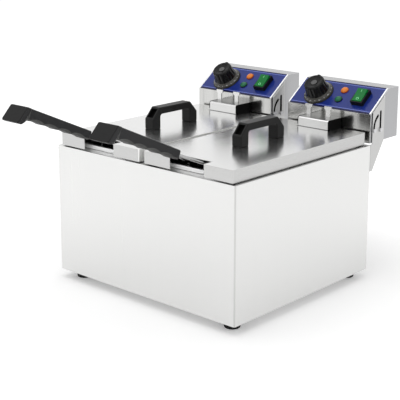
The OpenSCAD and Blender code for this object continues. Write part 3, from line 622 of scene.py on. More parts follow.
@dataclass
class Assembly:
    """What the sub-assemblies of one side share.

    Each frame takes millimetres. Its origin lies on the deck at the casing's back face,
    +Y runs back and +Z up.
    """

    side: Side
    head_front: float = 52.0
    slope_run: float = 54.0
    slope_rise: float = 39.0

    def box(self, node: str) -> tuple[Vector, Vector]:
        """Two corners of this side's solid of that name, in metres."""
        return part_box(self.side.node(node))

    def over(self, node: str) -> Matrix:
        """Frame over the middle of this side's solid of that name."""
        (low, high), (_, corner) = self.box(node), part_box("casing")
        place = Matrix.Translation(((low.x + high.x) / 2, corner.y, corner.z))
        return place @ Matrix.Scale(MM, 4)

    def slope(self) -> Matrix:
        """Frame on the head's sloping face: +Y up the slope, +Z out of it."""
        angle = math.atan2(self.slope_rise, self.slope_run)
        return (self.over("head_shell") @ Matrix.Translation((0, 0, self.head_front))
                @ Matrix.Rotation(angle, 4, "X"))

    def copy(self, name: str) -> Shape:
        """A copy of this side's solid of that name."""
        return Shape.of_node(self.side.node(name))

    def dress(self, finish: Finish, *names: str) -> None:
        """Gives solids of this side that stay in view their finish."""
        for name in names:
            dress_node(self.side.node(name), finish)

    def hang(self, piece: bpy.types.Object, body: str, slot: str, finishes: Sequence[Finish],
             stands_for: Sequence[str] = ()) -> None:
        """Settles a piece; the names of its body and its solids go without their side."""
        settle(piece, self.side.body(body), finishes, [self.side.node(n) for n in stands_for])

    def put(self, shape: Shape, name: str, body: str, slot: str, finishes: Sequence[Finish],
            stands_for: Sequence[str] = (), place: Matrix | None = None,
            crease: float = 35.0) -> None:
        """Finishes a shape as a piece of this side.

        Args:
            shape: The shape.
            name: Name of the piece, without its side.
            body: Name of the body it rides on, without its side.
            slot: Material slot of the record; not used.
            finishes: Its finishes, in the order of its face numbers.
            stands_for: Names of the solids it stands for, without their side.
            place: The frame it was built in; none if it is in metres already.
            crease: Turn above which an edge stays sharp, in degrees.
        """
        piece = shape.as_object(self.side.node(name), place, crease)
        self.hang(piece, body, slot, finishes, stands_for)


def dress_node(node: str, finish: Finish) -> None:
    """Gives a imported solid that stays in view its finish."""
    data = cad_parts[node].data
    data.materials.clear()
    data.materials.append(finish.material())
    for face in data.polygons:
        face.material_index = 0
    LOG.info("%s keeps its solid, in %s", node, finish.name)


# ---- casing ----


@dataclass
class Casing:
    """The outer box with its base plate, rubber feet and their screws."""

    soft_edge: float = 0.5
    foot_d: float = 29.0
    foot_h: float = 15.0

    def build(self) -> None:
        """Builds and dresses every piece that stands still."""
        casing = Shape.of_node("casing").soften(self.soft_edge * MM)
        # The rounded upright corners take a darker copy of the steel, painted shade.
        casing.paint(2, lambda f: min(abs(f.normal.x), abs(f.normal.y)) > 0.2)
        # The top faces take the deck's darker steel, painted shade.
        casing.paint(1, lambda f: f.normal.z > 0.7)
        settle(casing.as_object("casing_sheet"), "base", [CASING, DECK_SHADE, CASING_BEND_SHADE],
               ["casing"])
        dress_node("base_plate", TANK)
        dress_node("foot_screws", ZINC)
        self.build_feet()

    def build_feet(self) -> None:
        """Turned rubber feet with a soft lip and a groove."""
        low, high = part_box("feet")
        inset = self.foot_d / 2 * MM
        r, h = self.foot_d / 2, self.foot_h
        shape = Shape()
        profile = [(3, 0), (r - 3.2, 0), (r - 1.9, 0.6), (r - 1.4, 1.6), (r - 0.6, h - 4.4),
                   (r - 1.1, h - 3.7), (r - 0.3, h - 3), (r, h - 2.2), (r, h - 0.7),
                   (r - 0.5, h - 0.1), (3, h - 0.1)]
        for x in (low.x + inset, high.x - inset):
            for y in (low.y + inset, high.y - inset):
                shape.turned(profile, 40, Matrix.Translation((x / MM, y / MM, 0)))
        feet = shape.as_object("rubber_feet", Matrix.Scale(MM, 4))
        settle(feet, "base", [RUBBER], ["feet"])


# ---- tank and lid ----


@dataclass
class Tank(Assembly):
    """A drawn tank with its rolled rim."""

    rim_h: float = 8.0
    edge: float = 0.4
    floor_round: float = 6.0
    floor_band: float = 3.0
    wall_gap: float = 20.0

    def build(self) -> None:
        """The tank, with soft bends at its rim and floor."""
        low, high = self.box("tank")
        near_floor = low.z + self.floor_band * MM
        wall = near_floor + self.wall_gap * MM
        shape = self.copy("tank")
        shape.soften(self.floor_round * MM, 4, where=lambda p: p.z < near_floor)
        shape.soften(self.edge * MM, where=lambda p: p.z > wall)
        # The front of the rim takes the white steel, painted highlight.
        shape.paint(1, lambda f: f.normal.y < -0.6 and mid(f).z > high.z - self.rim_h * MM)
        self.put(shape, "drawn_tank", "tank", "tank_steel", [TANK, RIM_HIGHLIGHT], ["tank"])


@dataclass
class Lid(Assembly):
    """A lid of folded sheet with its bridge handle and screws."""

    edge: float = 0.7
    length: float = 112.0
    width: float = 20.0
    height: float = 37.0
    bar: float = 12.0
    leg: float = 19.0
    chamfer: float = 17.0
    corner: float = 5.0
    shoulder_drop: float = 2.0
    shoulder_area: float = 150.0
    handle_edge: float = 1.6
    pocket_rim: float = 2.6
    pocket_depth: float = 7.0
    pocket_draft: float = 0.5

    def build(self) -> None:
        """The sheet, the handle and its screws."""
        inward = 1 if self.side is Side.LEFT else -1
        sheet = self.copy("lid").soften(self.edge * MM)
        # Upright faces take a darker copy of the lid steel, painted shade.
        sheet.paint(1, lambda f: abs(f.normal.z) < 0.7)
        # Faces toward the other lid take a paler steel, painted light in the gap between the lids.
        sheet.paint(2, lambda f: f.normal.x * inward > 0.7)
        self.put(sheet, "lid_sheet", "lid", "lid_steel", [LID_TOP, LID_SKIRT_SHADE, LID_INNER_LIGHT], ["lid"])
        self.build_handle()
        self.dress(ZINC, "lid_screws")

    def build_handle(self) -> None:
        """A bridge handle with a screw pocket in each shoulder."""
        low, high = self.box("lid_handle")
        foot, inner = self.length / 2, self.length / 2 - self.leg
        gap, corner = self.height - self.bar, self.corner
        shoulder = self.height - self.chamfer - self.shoulder_drop
        outline = [(-foot, 0), (-foot, shoulder), (-foot + self.chamfer, self.height),
                   (foot - self.chamfer, self.height), (foot, shoulder), (foot, 0), (inner, 0)]
        outline += arc(inner - corner, gap - corner, corner, 0, 90, 5)
        outline += arc(-inner + corner, gap - corner, corner, 90, 180, 5) + [(-inner, 0)]
        shape = Shape()
        shape.side_view(outline, self.width)
        shape.soften(self.handle_edge, 3, 30)
        bmesh.ops.recalc_face_normals(shape.mesh, faces=shape.mesh.faces)
        shoulders = [f for f in shape.mesh.faces
                     if abs(f.normal.y) > 0.4 and f.normal.z > 0.4
                     and f.calc_area() > self.shoulder_area]
        for face in shoulders:
            inset = partial(bmesh.ops.inset_region, shape.mesh, faces=[face])
            inset(thickness=self.pocket_rim, depth=0)
            wall = inset(thickness=self.pocket_draft, depth=-self.pocket_depth)
            # The pocket's floor and walls take the dead black of painted shade.
            for inside in (face, *wall["faces"]):
                inside.material_index = 1
        middle = (low + high) / 2
        place = Matrix.Translation((middle.x, middle.y, low.z)) @ Matrix.Scale(MM, 4)
        self.put(shape, "bridge_handle", "lid", "black_plastic", [HANDLE, SHADE_BLACK], ["lid_handle"],
                 place)


# ---- control head ----


@dataclass
class Head(Assembly):
    """A control head: shell, panel, bracket, hanger and what sits on them."""

    edge: float = 0.5
    edge_area: float = 200.0
    bracket_edge: float = 0.3
    frame_edge: float = 0.7
    rocker_edge: float = 0.8
    panel_t: float = 1.2
    edge_line: float = 3.0
    pale_line: float = 1.6
    bare_edge: float = 2.0
    hanger_top: float = 39.0
    hanger_bend: float = 3.0
    lamp_x: float = 9.0
    lamp_v: Flat = (46.0, 23.0)
    switch_at: Flat = (52.0, 32.0)
    pivot: Flat = (35.3, 26.6)
    front_stud: Flat = (-26.2, -2.6)
    rear_stud: Flat = (-6.6, -3.8)
    # Painted shade behind the bracket's slots: half width, turns, rise, thickness and standing-off
    # of the black strips.
    shade_half_w: float = 3.4
    shade_turn: Flat = (8.0, 64.0)
    shade_rise: Flat = (4.0, 34.0)
    shade_t: float = 0.3
    shade_proud: float = 0.2
    # Thickness and standing-off of the black plates of painted shade at the housing's ends.
    end_shade_t: float = 2.6
    end_shade_at: float = 1.2
    rocker_z: float = 5.9
    rocker_lean: float = 8.0
    sign_v: float = 8.4
    sign_z: float = 5.35
    sign_h: float = 5.2
    sign_tip: float = 3.5

    def build(self) -> None:
        """Builds and dresses the whole head."""
        shell = self.copy("head_shell").soften(self.edge * MM)
        # Faces that do not look forward take a darker copy of the steel, painted shade.
        shell.paint(1, lambda f: f.normal.y > -0.7)
        small = self.edge_area * MM * MM
        # Small bevel faces take the near-white steel, painted highlight.
        shell.paint(2, lambda f: max(abs(v) for v in f.normal) < 0.97 and f.calc_area() < small)
        # The front faces keep the steel with painted reflection bands.
        self.put(shell, "head_sheet", "head", "stainless", [HEAD_FRONT_REFLECTION, HEAD_SIDE_SHADE, EDGE_HIGHLIGHT],
                 ["head_shell"])
        cover = self.copy("back_cover").soften(self.edge * MM)
        self.put(cover, "back_sheet", "head", "stainless", [COVER], ["back_cover"])
        self.build_hanger()
        bracket = self.copy("bracket").soften(self.bracket_edge * MM, 1)
        self.put(bracket, "hang_on_bracket", "bracket", "stainless", [BRACKET], ["bracket"])
        self.build_panel()
        self.build_lamps()
        self.build_switch()
        self.build_slot_shades()
        self.build_end_shades()
        self.dress(BLACK, "thermostat", "microswitch", "cable_gland")
        self.dress(CREAM, "limiter", "terminal_block")
        self.dress(ZINC, "slot_studs")
        self.dress(SCARLET, "reset_button")

    def build_hanger(self) -> None:
        """The housing that the element hangs from, with a round bend along its front."""
        low, _ = self.box("element_hanger")
        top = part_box("casing")[1].z + self.hanger_top * MM
        shape = self.copy("element_hanger")
        near = 0.2 * MM
        shape.soften(self.hanger_bend * MM, 4,
                     where=lambda p: p.z > top - near and p.y < low.y + near)
        shape.soften(self.edge * MM, 1)
        # The top faces take the darker copy of the steel, painted shade.
        shape.paint(1, lambda f: f.normal.z > 0.9)
        self.put(shape, "hanger_sheet", "head", "stainless", [HANGER, HANGER_TOP_SHADE],
                 ["element_hanger"])

    def build_panel(self) -> None:
        """The printed plate, with a dark and a pale line along two edges."""
        slope = self.slope()
        shape = self.copy("panel_plate").move(slope.inverted())
        low, top = (pick(v.co.y for v in shape.mesh.verts) for pick in (min, max))
        outer, inner = self.edge_line, self.edge_line + self.pale_line
        marks = [low + outer, low + inner, top - outer - self.pale_line, top - outer]
        for v in marks:
            shape.split((0, v, 0), (0, 1, 0))
        shape.paint(1, lambda f: mid(f).y < marks[0] or mid(f).y > marks[3])
        shape.paint(2, lambda f: marks[0] < mid(f).y < marks[1] or marks[2] < mid(f).y < marks[3])
        side = max(v.co.x for v in shape.mesh.verts) - self.bare_edge
        for x in (-side, side):
            shape.split((x, 0, 0), (1, 0, 0))
        # The bare side strips take the near-white steel of the painted highlight.
        shape.paint(3, lambda f: abs(mid(f).x) > side)
        self.put(shape, "printed_panel", "head", "panel_film", [FILM, FILM_EDGE, FILM_LINE, EDGE_HIGHLIGHT],
                 ["panel_plate"], slope)

    def build_lamps(self) -> None:
        """Two round lenses with a collar and a faceted dome."""
        orange = ("lamp_orange", self.lamp_v[0], AMBER, AMBER_RIM, "orange_lens")
        green = ("lamp_green", self.lamp_v[1], LEAF, BLACK, "green_lens")
        t = self.panel_t
        for node, v, finish, rim, slot in (orange, green):
            shape = Shape()
            profile = [(0.01, -13), (4, -13), (4, t), (7.4, t), (7.4, t + 1.1), (7.0, t + 1.5),
                       (6.4, t + 1.5), (6.2, t + 2.6), (5.2, t + 3.6), (3.6, t + 4.4),
                       (1.8, t + 4.8), (0.01, t + 4.9)]
            shape.turned(profile, 36, Matrix.Translation((self.lamp_x, v, 0)))
            shape.paint(1, lambda f: mid(f).z < t + 1.6)
            self.put(shape, f"{node}_lens", "head", slot, [finish, rim], [node], self.slope())

    def build_slot_shades(self) -> None:
        """Thin black strips on the head's sides behind the bracket's slots, painted shade that
        keeps the slots dark.
        """
        low, high = self.box("head_shell")
        half = (high.x - low.x) / 2 / MM
        y, z = self.pivot
        r = math.hypot(*self.front_stud)
        start = math.degrees(math.atan2(self.front_stud[1], self.front_stud[0])) % 360
        wide, (near, far), (bottom, top) = self.shade_half_w, self.shade_turn, self.shade_rise
        bent = arc(y, z, r + wide, start - near, start - far, 14)
        bent += arc(y, z, r - wide, start - far, start - near, 14)
        foot = (y + self.rear_stud[0], z + self.rear_stud[1])
        tall = [(foot[0] - wide, foot[1] + bottom), (foot[0] + wide, foot[1] + bottom),
                (foot[0] + wide, foot[1] + top), (foot[0] - wide, foot[1] + top)]
        shape = Shape()
        for x in (-half - self.shade_proud, half + self.shade_proud):
            for outline in (bent, tall):
                shape.side_view(outline, self.shade_t, x)
        self.put(shape, "glide_strips", "head", "black_plastic", [SHADE_BLACK],
                 place=self.over("head_shell"))

    def build_end_shades(self) -> None:
        """Black plates at the housing's two ends over the element's legs, painted shade for the
        dark inside seen there.
        """
        low, high = self.box("element_hanger")
        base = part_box("casing")[1]
        half = (high.x - low.x) / 2 / MM
        front, floor, top = (low.y - base.y) / MM, (low.z - base.z) / MM, self.hanger_top
        outline = [(front + 0.6, top - 13), (front + 0.6, top - 4), (front + 4, top + 0.2),
                   (-2, top + 0.2), (-2, floor + 4), (-13, floor + 4), (-13, top - 27),
                   (front + 17, top - 30), (front + 12, top - 22), (front + 6, top - 20)]
        shape = Shape()
        for side in (-1, 1):
            shape.side_view(outline, self.end_shade_t, side * (half + self.end_shade_at))
        shape.soften(0.6, 2, 25)
        self.put(shape, "housing_caps", "head", "black_plastic", [SHADE_BLACK],
                 place=self.over("element_hanger"))

    def build_switch(self) -> None:
        """The frame of the switch and its lit rocker."""
        housing = self.copy("switch_frame").soften(self.frame_edge * MM)
        self.put(housing, "switch_housing", "head", "black_plastic", [BLACK], ["switch_frame"])
        slope = self.slope()
        shape = self.copy("rocker").soften(self.rocker_edge * MM, 3, 40).move(slope.inverted())
        lean = Matrix.Rotation(math.radians(self.rocker_lean), 4, "X")
        pivot = Matrix.Translation((*self.switch_at, self.panel_t + self.rocker_z))
        for sign, end in (("I", 1), ("O", -1)):
            tilt = Matrix.Rotation(math.radians(end * self.sign_tip), 4, "X")
            spot = pivot @ lean @ Matrix.Translation((0, end * self.sign_v, self.sign_z)) @ tilt
            shape.letter(sign, self.sign_h, spot, 0.3, 1)
        self.put(shape, "lit_rocker", "rocker", "green_rocker", [ROCKER, ROCKER_SIGN], ["rocker"],
                 slope)


@dataclass
class Knob(Assembly):
    """A fluted knob with a pointer, over its dial."""

    at: Flat = (-38.5, 31.0)
    foot_z: float = 3.2
    body_d: float = 42.0
    crown_d: float = 36.0
    flare_d: float = 53.0
    height: float = 26.5
    cap_r: float = 6.2
    skirt_h: float = 6.0
    ridge_w: float = 5.4
    ridge_edge: float = 0.9
    dial_edge: float = 0.3
    flutes: int = 12
    flute_depth: float = 1.3
    flute_from: float = 7.5
    flute_end: float = 0.5
    flute_ease: Flat = (3.0, 1.5)
    marks: int = 15
    first_mark: float = -60.0
    mark_step: float = -20.5
    mark_size: Point = (0.6, 1.6, 0.12)
    mark_in: float = 1.7
    mark_z: float = 2.66
    figure_h: float = 2.1
    skirt_lean: float = -28.0

    def build(self) -> None:
        """The knob with its cap, and the dial under it."""
        place = self.slope() @ Matrix.Translation((*self.at, self.foot_z))
        shape = Shape()
        r, crown, flare, h = self.body_d / 2, self.crown_d / 2, self.flare_d / 2, self.height
        profile = [(3.2, 0), (flare, 0), (flare, 1.4), (flare - 0.5, 2.0), (flare - 2.4, 3.0),
                   (flare - 3.9, 4.4), (flare - 4.8, 6.2), (r + 0.1, 8.4), (r - 0.4, 11),
                   (r - 1.0, 15), (r - 1.7, 19), (crown + 0.9, h - 3), (crown + 0.2, h - 1.3),
                   (crown - 1.1, h - 0.3), (crown - 2.6, h), (crown - 4.0, h - 0.3),
                   (crown - 6.0, h - 2.2), (6.4, h - 2.4), (6.0, h - 1.6), (5.4, h - 1.4),
                   (0.01, h - 1.2)]
        low, high = self.flute_from, h - self.flute_end
        rise, fall = self.flute_ease
        for v in shape.turned(profile, 144):
            if low < v.co.z < high:
                turn = math.atan2(v.co.y, v.co.x)
                wave = 0.5 + 0.5 * math.cos(self.flutes * turn + math.pi)
                ease = min(1, (v.co.z - low) / rise, (high - v.co.z) / fall)
                out = math.hypot(v.co.x, v.co.y)
                share = (out - self.flute_depth * ease * wave ** 3) / out
                v.co.x, v.co.y = v.co.x * share, v.co.y * share
        shape.paint(1, lambda f: mid(f).xy.length < self.cap_r and abs(f.normal.z) > 0.5)
        # The flared skirt takes a paler brownish black, painted reflection.
        shape.paint(3, lambda f: mid(f).z < self.skirt_h)
        self.add_pointer(shape, crown, h)
        self.add_scale(shape, flare)
        self.put(shape, "fluted_knob", "knob", "black_plastic", [KNOB, CAP, PRINT, SKIRT_REFLECTION], ["knob"],
                 place, 50)
        dial = self.copy("knob_dial").soften(self.dial_edge * MM, 2, 40)
        self.put(dial, "dial_ring", "knob", "dial_ring", [DIAL], ["knob_dial"])

    def add_pointer(self, shape: Shape, crown: float, h: float) -> None:
        """A ridge up the back of the knob, rounded over its top."""
        ridge = Shape()
        outline = [(crown - 3, 3), (crown + 7.2, 3), (crown + 4.6, 7.4), (crown + 3.3, 12),
                   (crown + 2.4, h - 4), (crown + 1.2, h - 0.4), (crown - 1, h + 0.2),
                   (crown - 3, h - 1)]
        ridge.side_view(outline, self.ridge_w)
        ridge.soften(self.ridge_edge, 2, 25)
        data = bpy.data.meshes.new("ridge")
        ridge.mesh.to_mesh(data)
        shape.add(data, Matrix.Identity(4))

    def add_scale(self, shape: Shape, flare: float) -> None:
        """Figures from 60 to 200 and a mark between each two, printed on the flared skirt."""
        tilt = Matrix.Rotation(math.radians(self.skirt_lean), 4, "X")
        thick, first_figure, figure_step = self.mark_size[2], 60, 10
        for step in range(self.marks):
            turn = Matrix.Rotation(math.radians(self.first_mark + self.mark_step * step), 4, "Z")
            spot = turn @ Matrix.Translation((0, flare - self.mark_in, self.mark_z)) @ tilt
            if step % 2:
                lift = Matrix.Translation((0, 0, thick / 2))
                size = Matrix.Diagonal((*self.mark_size, 1))
                bmesh.ops.create_cube(shape.mesh, size=1, matrix=spot @ lift @ size)
                for face in shape.mesh.faces[-6:]:
                    face.material_index = 2
            else:
                shape.letter(str(first_figure + figure_step * step), self.figure_h, spot, thick, 2)


# ---- element and basket ----


@dataclass
class Element(Assembly):
    """The heating element under its guard, with the two sensors."""

    tube_d: float = 8.0
    bend_r: float = 14.0
    pitch: float = 36.0
    leg: Point = (20.0, -24.0, 21.5)
    leg_foot: float = -28.0
    spread_z: float = -62.0
    low_z: float = -145.5
    front: float = -274.0
    back: float = -62.0

    def build(self) -> None:
        """Bent tubes in place of the flat-sided solids."""
        x, y, top = self.leg
        a, b = 1.5 * self.pitch, 0.5 * self.pitch
        low = self.low_z
        half = [(x, y, top), (x, y, self.leg_foot), (a, y, self.spread_z), (a, y, low),
                (a, self.front, low), (b, self.front, low), (b, self.back, low)]
        tube = bars(self.side.node("element_tube"), [rounded(bridge(half[::-1]), self.bend_r)],
                    self.tube_d, self.over("element_hanger"), 5)
        self.hang(tube, "head", "element_sheath", [SHEATH], ["heating_element"])
        self.dress(TANK, "element_guard")
        self.dress(COPPER, "sensor_bulbs")


@dataclass
class Basket(Assembly):
    """A wire basket with its two rods and moulded grip."""

    rod_d: float = 5.0
    rod_low: float = -22.0
    rod_over: float = 7.0
    rod_in: float = 30.0
    rods_apart: Flat = (44.0, 14.0)
    rim_proud: float = 1.5
    deck_front: float = -358.0
    grip_start: float = 22.0
    grip_z: float = 36.0
    grip_angle: float = 24.4
    grip_l: float = 152.0
    grip_w: float = 24.0
    grip_t: float = 15.0
    grip_swell: float = 5.0
    rings: int = 152
    neck: Flat = (0.72, 4.0)
    top_drop: float = 0.6
    hollows: int = 4
    first_wave: float = 14.0
    wave_l: float = 29.5
    wave_d: float = 1.3
    wave_in: Flat = (1.4, 1.8)
    cut: float = 2.4
    corner_r: float = 2.2
    fillet: float = 8.0
    stop_l: float = 16.0
    stop_w: float = 42.0
    stop_drop: float = 9.0
    stop_lean: float = 9.5
    half_w: float = 74.0
    front: float = -322.0
    back: float = -46.0
    floor_z: float = -118.0
    rim_z: float = -6.0
    side_taper: float = 6.0
    front_taper: float = 24.0
    back_taper: float = 10.0
    wall_t: float = 1.0
    pitch: float = 9.0
    wire_d: float = 1.3
    wire_bend: float = 4.0
    spread: Flat = (0.97, 0.02)
    rim_d: float = 4.4
    rim_in: float = 0.7

    def build(self) -> None:
        """Wires, rods and grip."""
        self.build_rods()
        self.build_grip()
        self.build_wires()

    def build_rods(self) -> None:
        """The two rods from the basket's front up into the grip."""
        wall_y, over = self.front - self.rim_proud - self.rod_d / 2, self.rod_over + self.rod_d
        wide, close = self.rods_apart[0] / 2, self.rods_apart[1] / 2
        y, z = self.deck_front - self.grip_start, self.grip_z
        lean = math.radians(self.grip_angle)
        tip = (y - self.rod_in * math.cos(lean), z + self.rod_in * math.sin(lean))
        half = [(wide, wall_y, self.rod_low), (wide, wall_y, over), (close, y, z), (close, *tip)]
        rods = bars(self.side.node("grip_rods"), [rounded(bridge(half), 5, 6)], self.rod_d,
                    self.over("tank"), 4)
        self.hang(rods, "basket", "chromed_wire", [ROD], ["basket_rods"])

    def ring(self, along: float, half_w: float, top: float, bottom: float, lean: float,
             hollow: float = 0.0) -> list[Point]:
        """One ring of the grip's skin: a rectangle with soft corners, the lower two cut off.

        Args:
            along: Its place along the grip.
            half_w: Half of its width.
            top, bottom: Heights of its top and bottom.
            lean: How far its foot leans out.
            hollow: Share of a finger hollow's depth, which widens the cut corners.

        Returns:
            Its points.
        """
        wide, tall = self.wave_in
        side, edge = half_w - (self.cut + wide * hollow), bottom + (self.cut + tall * hollow)
        corners = [(0, 0, bottom), (side, 0, bottom), (half_w, 0, edge), (half_w, 0, top),
                   (-half_w, 0, top), (-half_w, 0, edge), (-side, 0, bottom), (0, 0, bottom)]
        skin = rounded(corners, self.corner_r, 4)[:-1]
        return [(p.x, along + lean * (top - p.z) / (top - bottom), p.z) for p in skin]

    def build_grip(self) -> None:
        """The grip: a swelling shaft with finger hollows, flared into a stop at its end."""
        rings = []
        start, run = self.neck
        stop_foot = -(self.grip_t / 2 + self.grip_swell + self.stop_drop)
        for i in range(self.rings - 2):
            y = self.grip_l * i / self.rings
            near = start + (1 - start) * math.sin(min(y / run, 1.0) * math.pi / 2)
            flare = min(1.0, max(0.0, (y - self.grip_l + self.stop_l) / self.fillet))
            ease = flare * flare * (3 - 2 * flare)
            wave = (y - self.first_wave) / self.wave_l
            bowl = 1 - (2 * (wave % 1) - 1) ** 2 if 0 <= wave < self.hollows else 0.0
            hollow = (1 - ease) * bowl
            half_w = (self.grip_w / 2) * near + ease * (self.stop_w - self.grip_w) / 2
            top = self.grip_t / 2 * near - self.top_drop * ease
            swell = self.grip_t / 2 * near + self.grip_swell * y / self.grip_l
            bottom = -swell + self.wave_d * hollow
            foot = bottom + ease * (stop_foot - bottom)
            rings.append(self.ring(y, half_w, top, foot, self.stop_lean * ease, hollow))
        for out, inset in ((-1.8, 0.0), (-0.7, 0.3), (-0.2, 0.8), (0.0, 1.6)):
            rings.append(self.ring(self.grip_l + out, self.stop_w / 2 - inset,
                                   self.grip_t / 2 - self.top_drop - inset, stop_foot + inset,
                                   self.stop_lean))
        shape = Shape()
        shape.loft(rings)
        stop = self.grip_l - self.stop_l
        # Facets under the finger hollows and the stop's flare toward the shaft take the paler
        # plastic, painted reflection.
        shape.paint(2, lambda f: f.normal.z < -0.3 and abs(f.normal.x) > 0.3 and mid(f).y < stop)
        shape.paint(2, lambda f: f.normal.y < -0.2 and stop < mid(f).y < stop + self.fillet)
        # The end face takes the darker copy of the plastic, painted shade.
        shape.paint(1, lambda f: f.normal.y > 0.6 and mid(f).y > stop)
        place = (self.over("tank")
                 @ Matrix.Translation((0, self.deck_front - self.grip_start, self.grip_z))
                 @ Matrix.Rotation(math.radians(-self.grip_angle), 4, "X")
                 @ Matrix.Rotation(math.pi, 4, "Z"))
        self.put(shape, "moulded_grip", "basket", "dark_plastic", [GRIP, GRIP_END_SHADE, GRIP_LIP_REFLECTION],
                 ["basket_grip"], place, 32)

    def loop(self, half_w: float, front: float, back: float, z: float, r: float) -> list[Vector]:
        """A closed loop of wire with round corners, level at one height."""
        corners = ((half_w - r, back - r, 0), (r - half_w, back - r, 90),
                   (r - half_w, front + r, 180), (half_w - r, front + r, 270))
        return [Vector((x, y, z)) for cx, cy, a in corners for x, y in arc(cx, cy, r, a, a + 90, 5)]

    def walls(self, rise: float) -> tuple[float, float, float]:
        """Half width, front and back of the wires at the basket's foot, 0, or its rim, 1."""
        drop, wall = 1 - rise, self.wall_t
        return (self.half_w - self.side_taper * drop - wall,
                self.front + self.front_taper * drop + wall,
                self.back - self.back_taper * drop - wall)

    def build_wires(self) -> None:
        """Woven wires in place of the perforated plates, under a heavy rim wire."""
        low, high, lift = self.floor_z + self.wall_t, self.rim_z, self.wire_d
        (outmost, end), bend = self.spread, self.wire_bend
        foot, head = self.walls(0), self.walls(1)
        (low_w, low_f, low_b), (top_w, top_f, top_b) = foot, head
        routes = []
        count = int(2 * low_w / self.pitch)
        for i in range(count + 1):
            share = (2 * i / count - 1) * outmost
            top_x, low_x = share * top_w, share * low_w
            routes.append(rounded([(top_x, top_f, high), (low_x, low_f, low),
                                   (low_x, low_b, low), (top_x, top_b, high)], bend, 4))
        count = int((low_b - low_f) / self.pitch)
        for i in range(count + 1):
            share = end + (1 - 2 * end) * i / count
            top_y, low_y = top_f + share * (top_b - top_f), low_f + share * (low_b - low_f)
            routes.append(rounded([(-top_w, top_y, high), (-low_w, low_y, low + lift),
                                   (low_w, low_y, low + lift), (top_w, top_y, high)], bend, 4))
        rings = []
        count = int((high - low) / self.pitch)
        for i in range(1, count):
            rise = i / count
            half_w, front, back = (a + rise * (b - a) for a, b in zip(foot, head))
            rings.append(self.loop(half_w - lift, front + lift, back - lift,
                                   low + rise * (high - low), bend))
        inset = self.rim_in
        edge = self.loop(self.half_w - inset, self.front + inset, self.back - inset,
                         self.rim_z - self.rim_d / 2, 5)
        place, name = self.over("tank"), self.side.node
        wires = bars(name("woven_wires"), routes, self.wire_d, place, 1)
        hoops = bars(name("wire_hoops"), rings, self.wire_d, place, 1, True)
        rim = bars(name("rim_wire"), [edge], self.rim_d, place, 3, True)
        for piece, stands_for in ((hoops, []), (rim, []), (wires, ["basket"])):
            self.hang(piece, "basket", "chromed_wire", [WIRE], stands_for)


# ---- studio ----


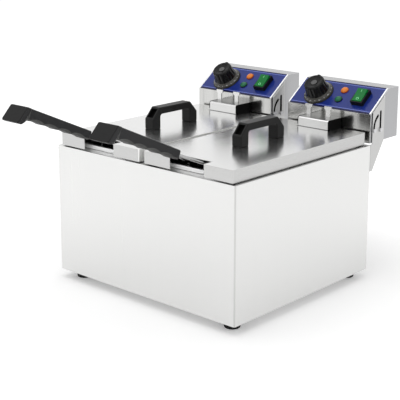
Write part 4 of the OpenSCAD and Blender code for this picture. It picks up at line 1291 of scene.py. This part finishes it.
@dataclass
class Studio:
    """Floor, soft lights, pale surround and camera, placed in metres."""

    azimuth: float = 42.21
    elevation: float = 13.45
    distance: float = 1.86466
    lens: float = 96.74
    shift_y: float = -0.125
    target: Point = (-0.03276, 0.03788, 0.2239)
    lamp_target: Point = (0.0, 0.03, 0.15)
    fill: float = 0.62
    floor_white: float = 0.97
    glow_reach: Flat = (0.25, 0.75)
    glow_power: Flat = (0.21, 0.45)

    def build(self) -> None:
        """Sets up everything round the object."""
        self.build_world()
        self.build_floor()
        self.build_lamps()
        self.build_camera()
        bpy.context.scene.view_settings.view_transform = "Standard"

    def direct_rays(self, tree: Tree) -> bpy.types.NodeSocket:
        """1 for rays from the camera, a mirror or through glass, else 0."""
        path = tree.add("LightPath").outputs
        seen = tree.maths("MAXIMUM", path["Is Camera Ray"], path["Is Glossy Ray"])
        return tree.maths("MAXIMUM", seen, path["Is Transmission Ray"])

    def build_world(self) -> None:
        """An even white surround, softer where it only fills shadows."""
        world = bpy.data.worlds.new("surround")
        world.use_nodes = True
        bpy.context.scene.world = world
        tree = Tree(world.node_tree)
        strength = tree.add("MapRange", Value=self.direct_rays(tree), To_Min=self.fill)
        tree.feed(tree.nodes["Background"], Color=(1, 1, 1), Strength=strength.outputs["Result"])

    def build_floor(self) -> None:
        """A wide pale floor that keeps the object's shadow."""
        shape = Shape()
        bmesh.ops.create_grid(shape.mesh, x_segments=1, y_segments=1, size=40)
        floor = shape.as_object("floor")
        mixer = Mixer("pale_floor")
        mixer.nodes.remove(mixer.shader)
        far = mixer.add("VectorMath", mixer.add("TexCoord").outputs["Object"])
        far.operation = "LENGTH"
        (near, wide), (weak, strong) = self.glow_reach, self.glow_power
        reach = mixer.add("MapRange", Value=far.outputs["Value"], From_Min=near, From_Max=wide,
                          To_Min=weak, To_Max=strong)
        power = mixer.maths("MULTIPLY", reach.outputs["Result"], self.direct_rays(mixer))
        glow = mixer.add("Emission", Strength=power)
        matt = mixer.add("BsdfDiffuse", Color=[self.floor_white] * 3)
        both = mixer.add("AddShader", matt.outputs["BSDF"], glow.outputs["Emission"])
        mixer.feed(mixer.nodes["Material Output"], Surface=both.outputs["Shader"])
        floor.data.materials.append(mixer.material)

    def aim(self, name: str, data: bpy.types.ID, at: Vector | Point,
            ahead: Vector) -> bpy.types.Object:
        """Adds a lamp or the camera.

        Args:
            name: Its name.
            data: What it is.
            at: Where it stands.
            ahead: The way it looks.

        Returns:
            The object.
        """
        made = show(name, data)
        made.location = at
        made.rotation_mode = "QUATERNION"
        made.rotation_quaternion = ahead.to_track_quat("-Z", "Y")
        return made

    def build_lamps(self) -> None:
        """A broad lamp overhead and a weaker one on each side."""
        for name, at, size, power in (("overhead", (-0.2, -0.3, 1.9), 1.8, 10.0),
                                      ("left_fill", (-1.8, -1.4, 1.0), 1.2, 1.5),
                                      ("right_fill", (2.0, -0.8, 1.1), 1.2, 3.0)):
            lamp = bpy.data.lights.new(name, "AREA")
            lamp.shape, lamp.size, lamp.energy = "SQUARE", size, power
            self.aim(name, lamp, at, Vector(self.lamp_target) - Vector(at))

    def build_camera(self) -> None:
        """The camera, at the height of a person who stands before a counter."""
        data = bpy.data.cameras.new("camera")
        data.lens, data.sensor_width, data.shift_y = self.lens, 36.0, self.shift_y
        a, e = math.radians(self.azimuth), math.radians(self.elevation)
        back = Vector((math.sin(a) * math.cos(e), -math.cos(a) * math.cos(e), math.sin(e)))
        place = Vector(self.target) + back * self.distance
        bpy.context.scene.camera = self.aim("camera", data, place, -back)


def main() -> None:
    """Builds the fryer in order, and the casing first."""
    logging.basicConfig(level=logging.INFO, format="%(message)s")
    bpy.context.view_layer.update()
    Studio().build()
    Casing().build()
    for side in Side:
        for kind in (Tank, Head, Knob, Element, Basket, Lid):
            kind(side).build()


if __name__ == "__main__":
    main()
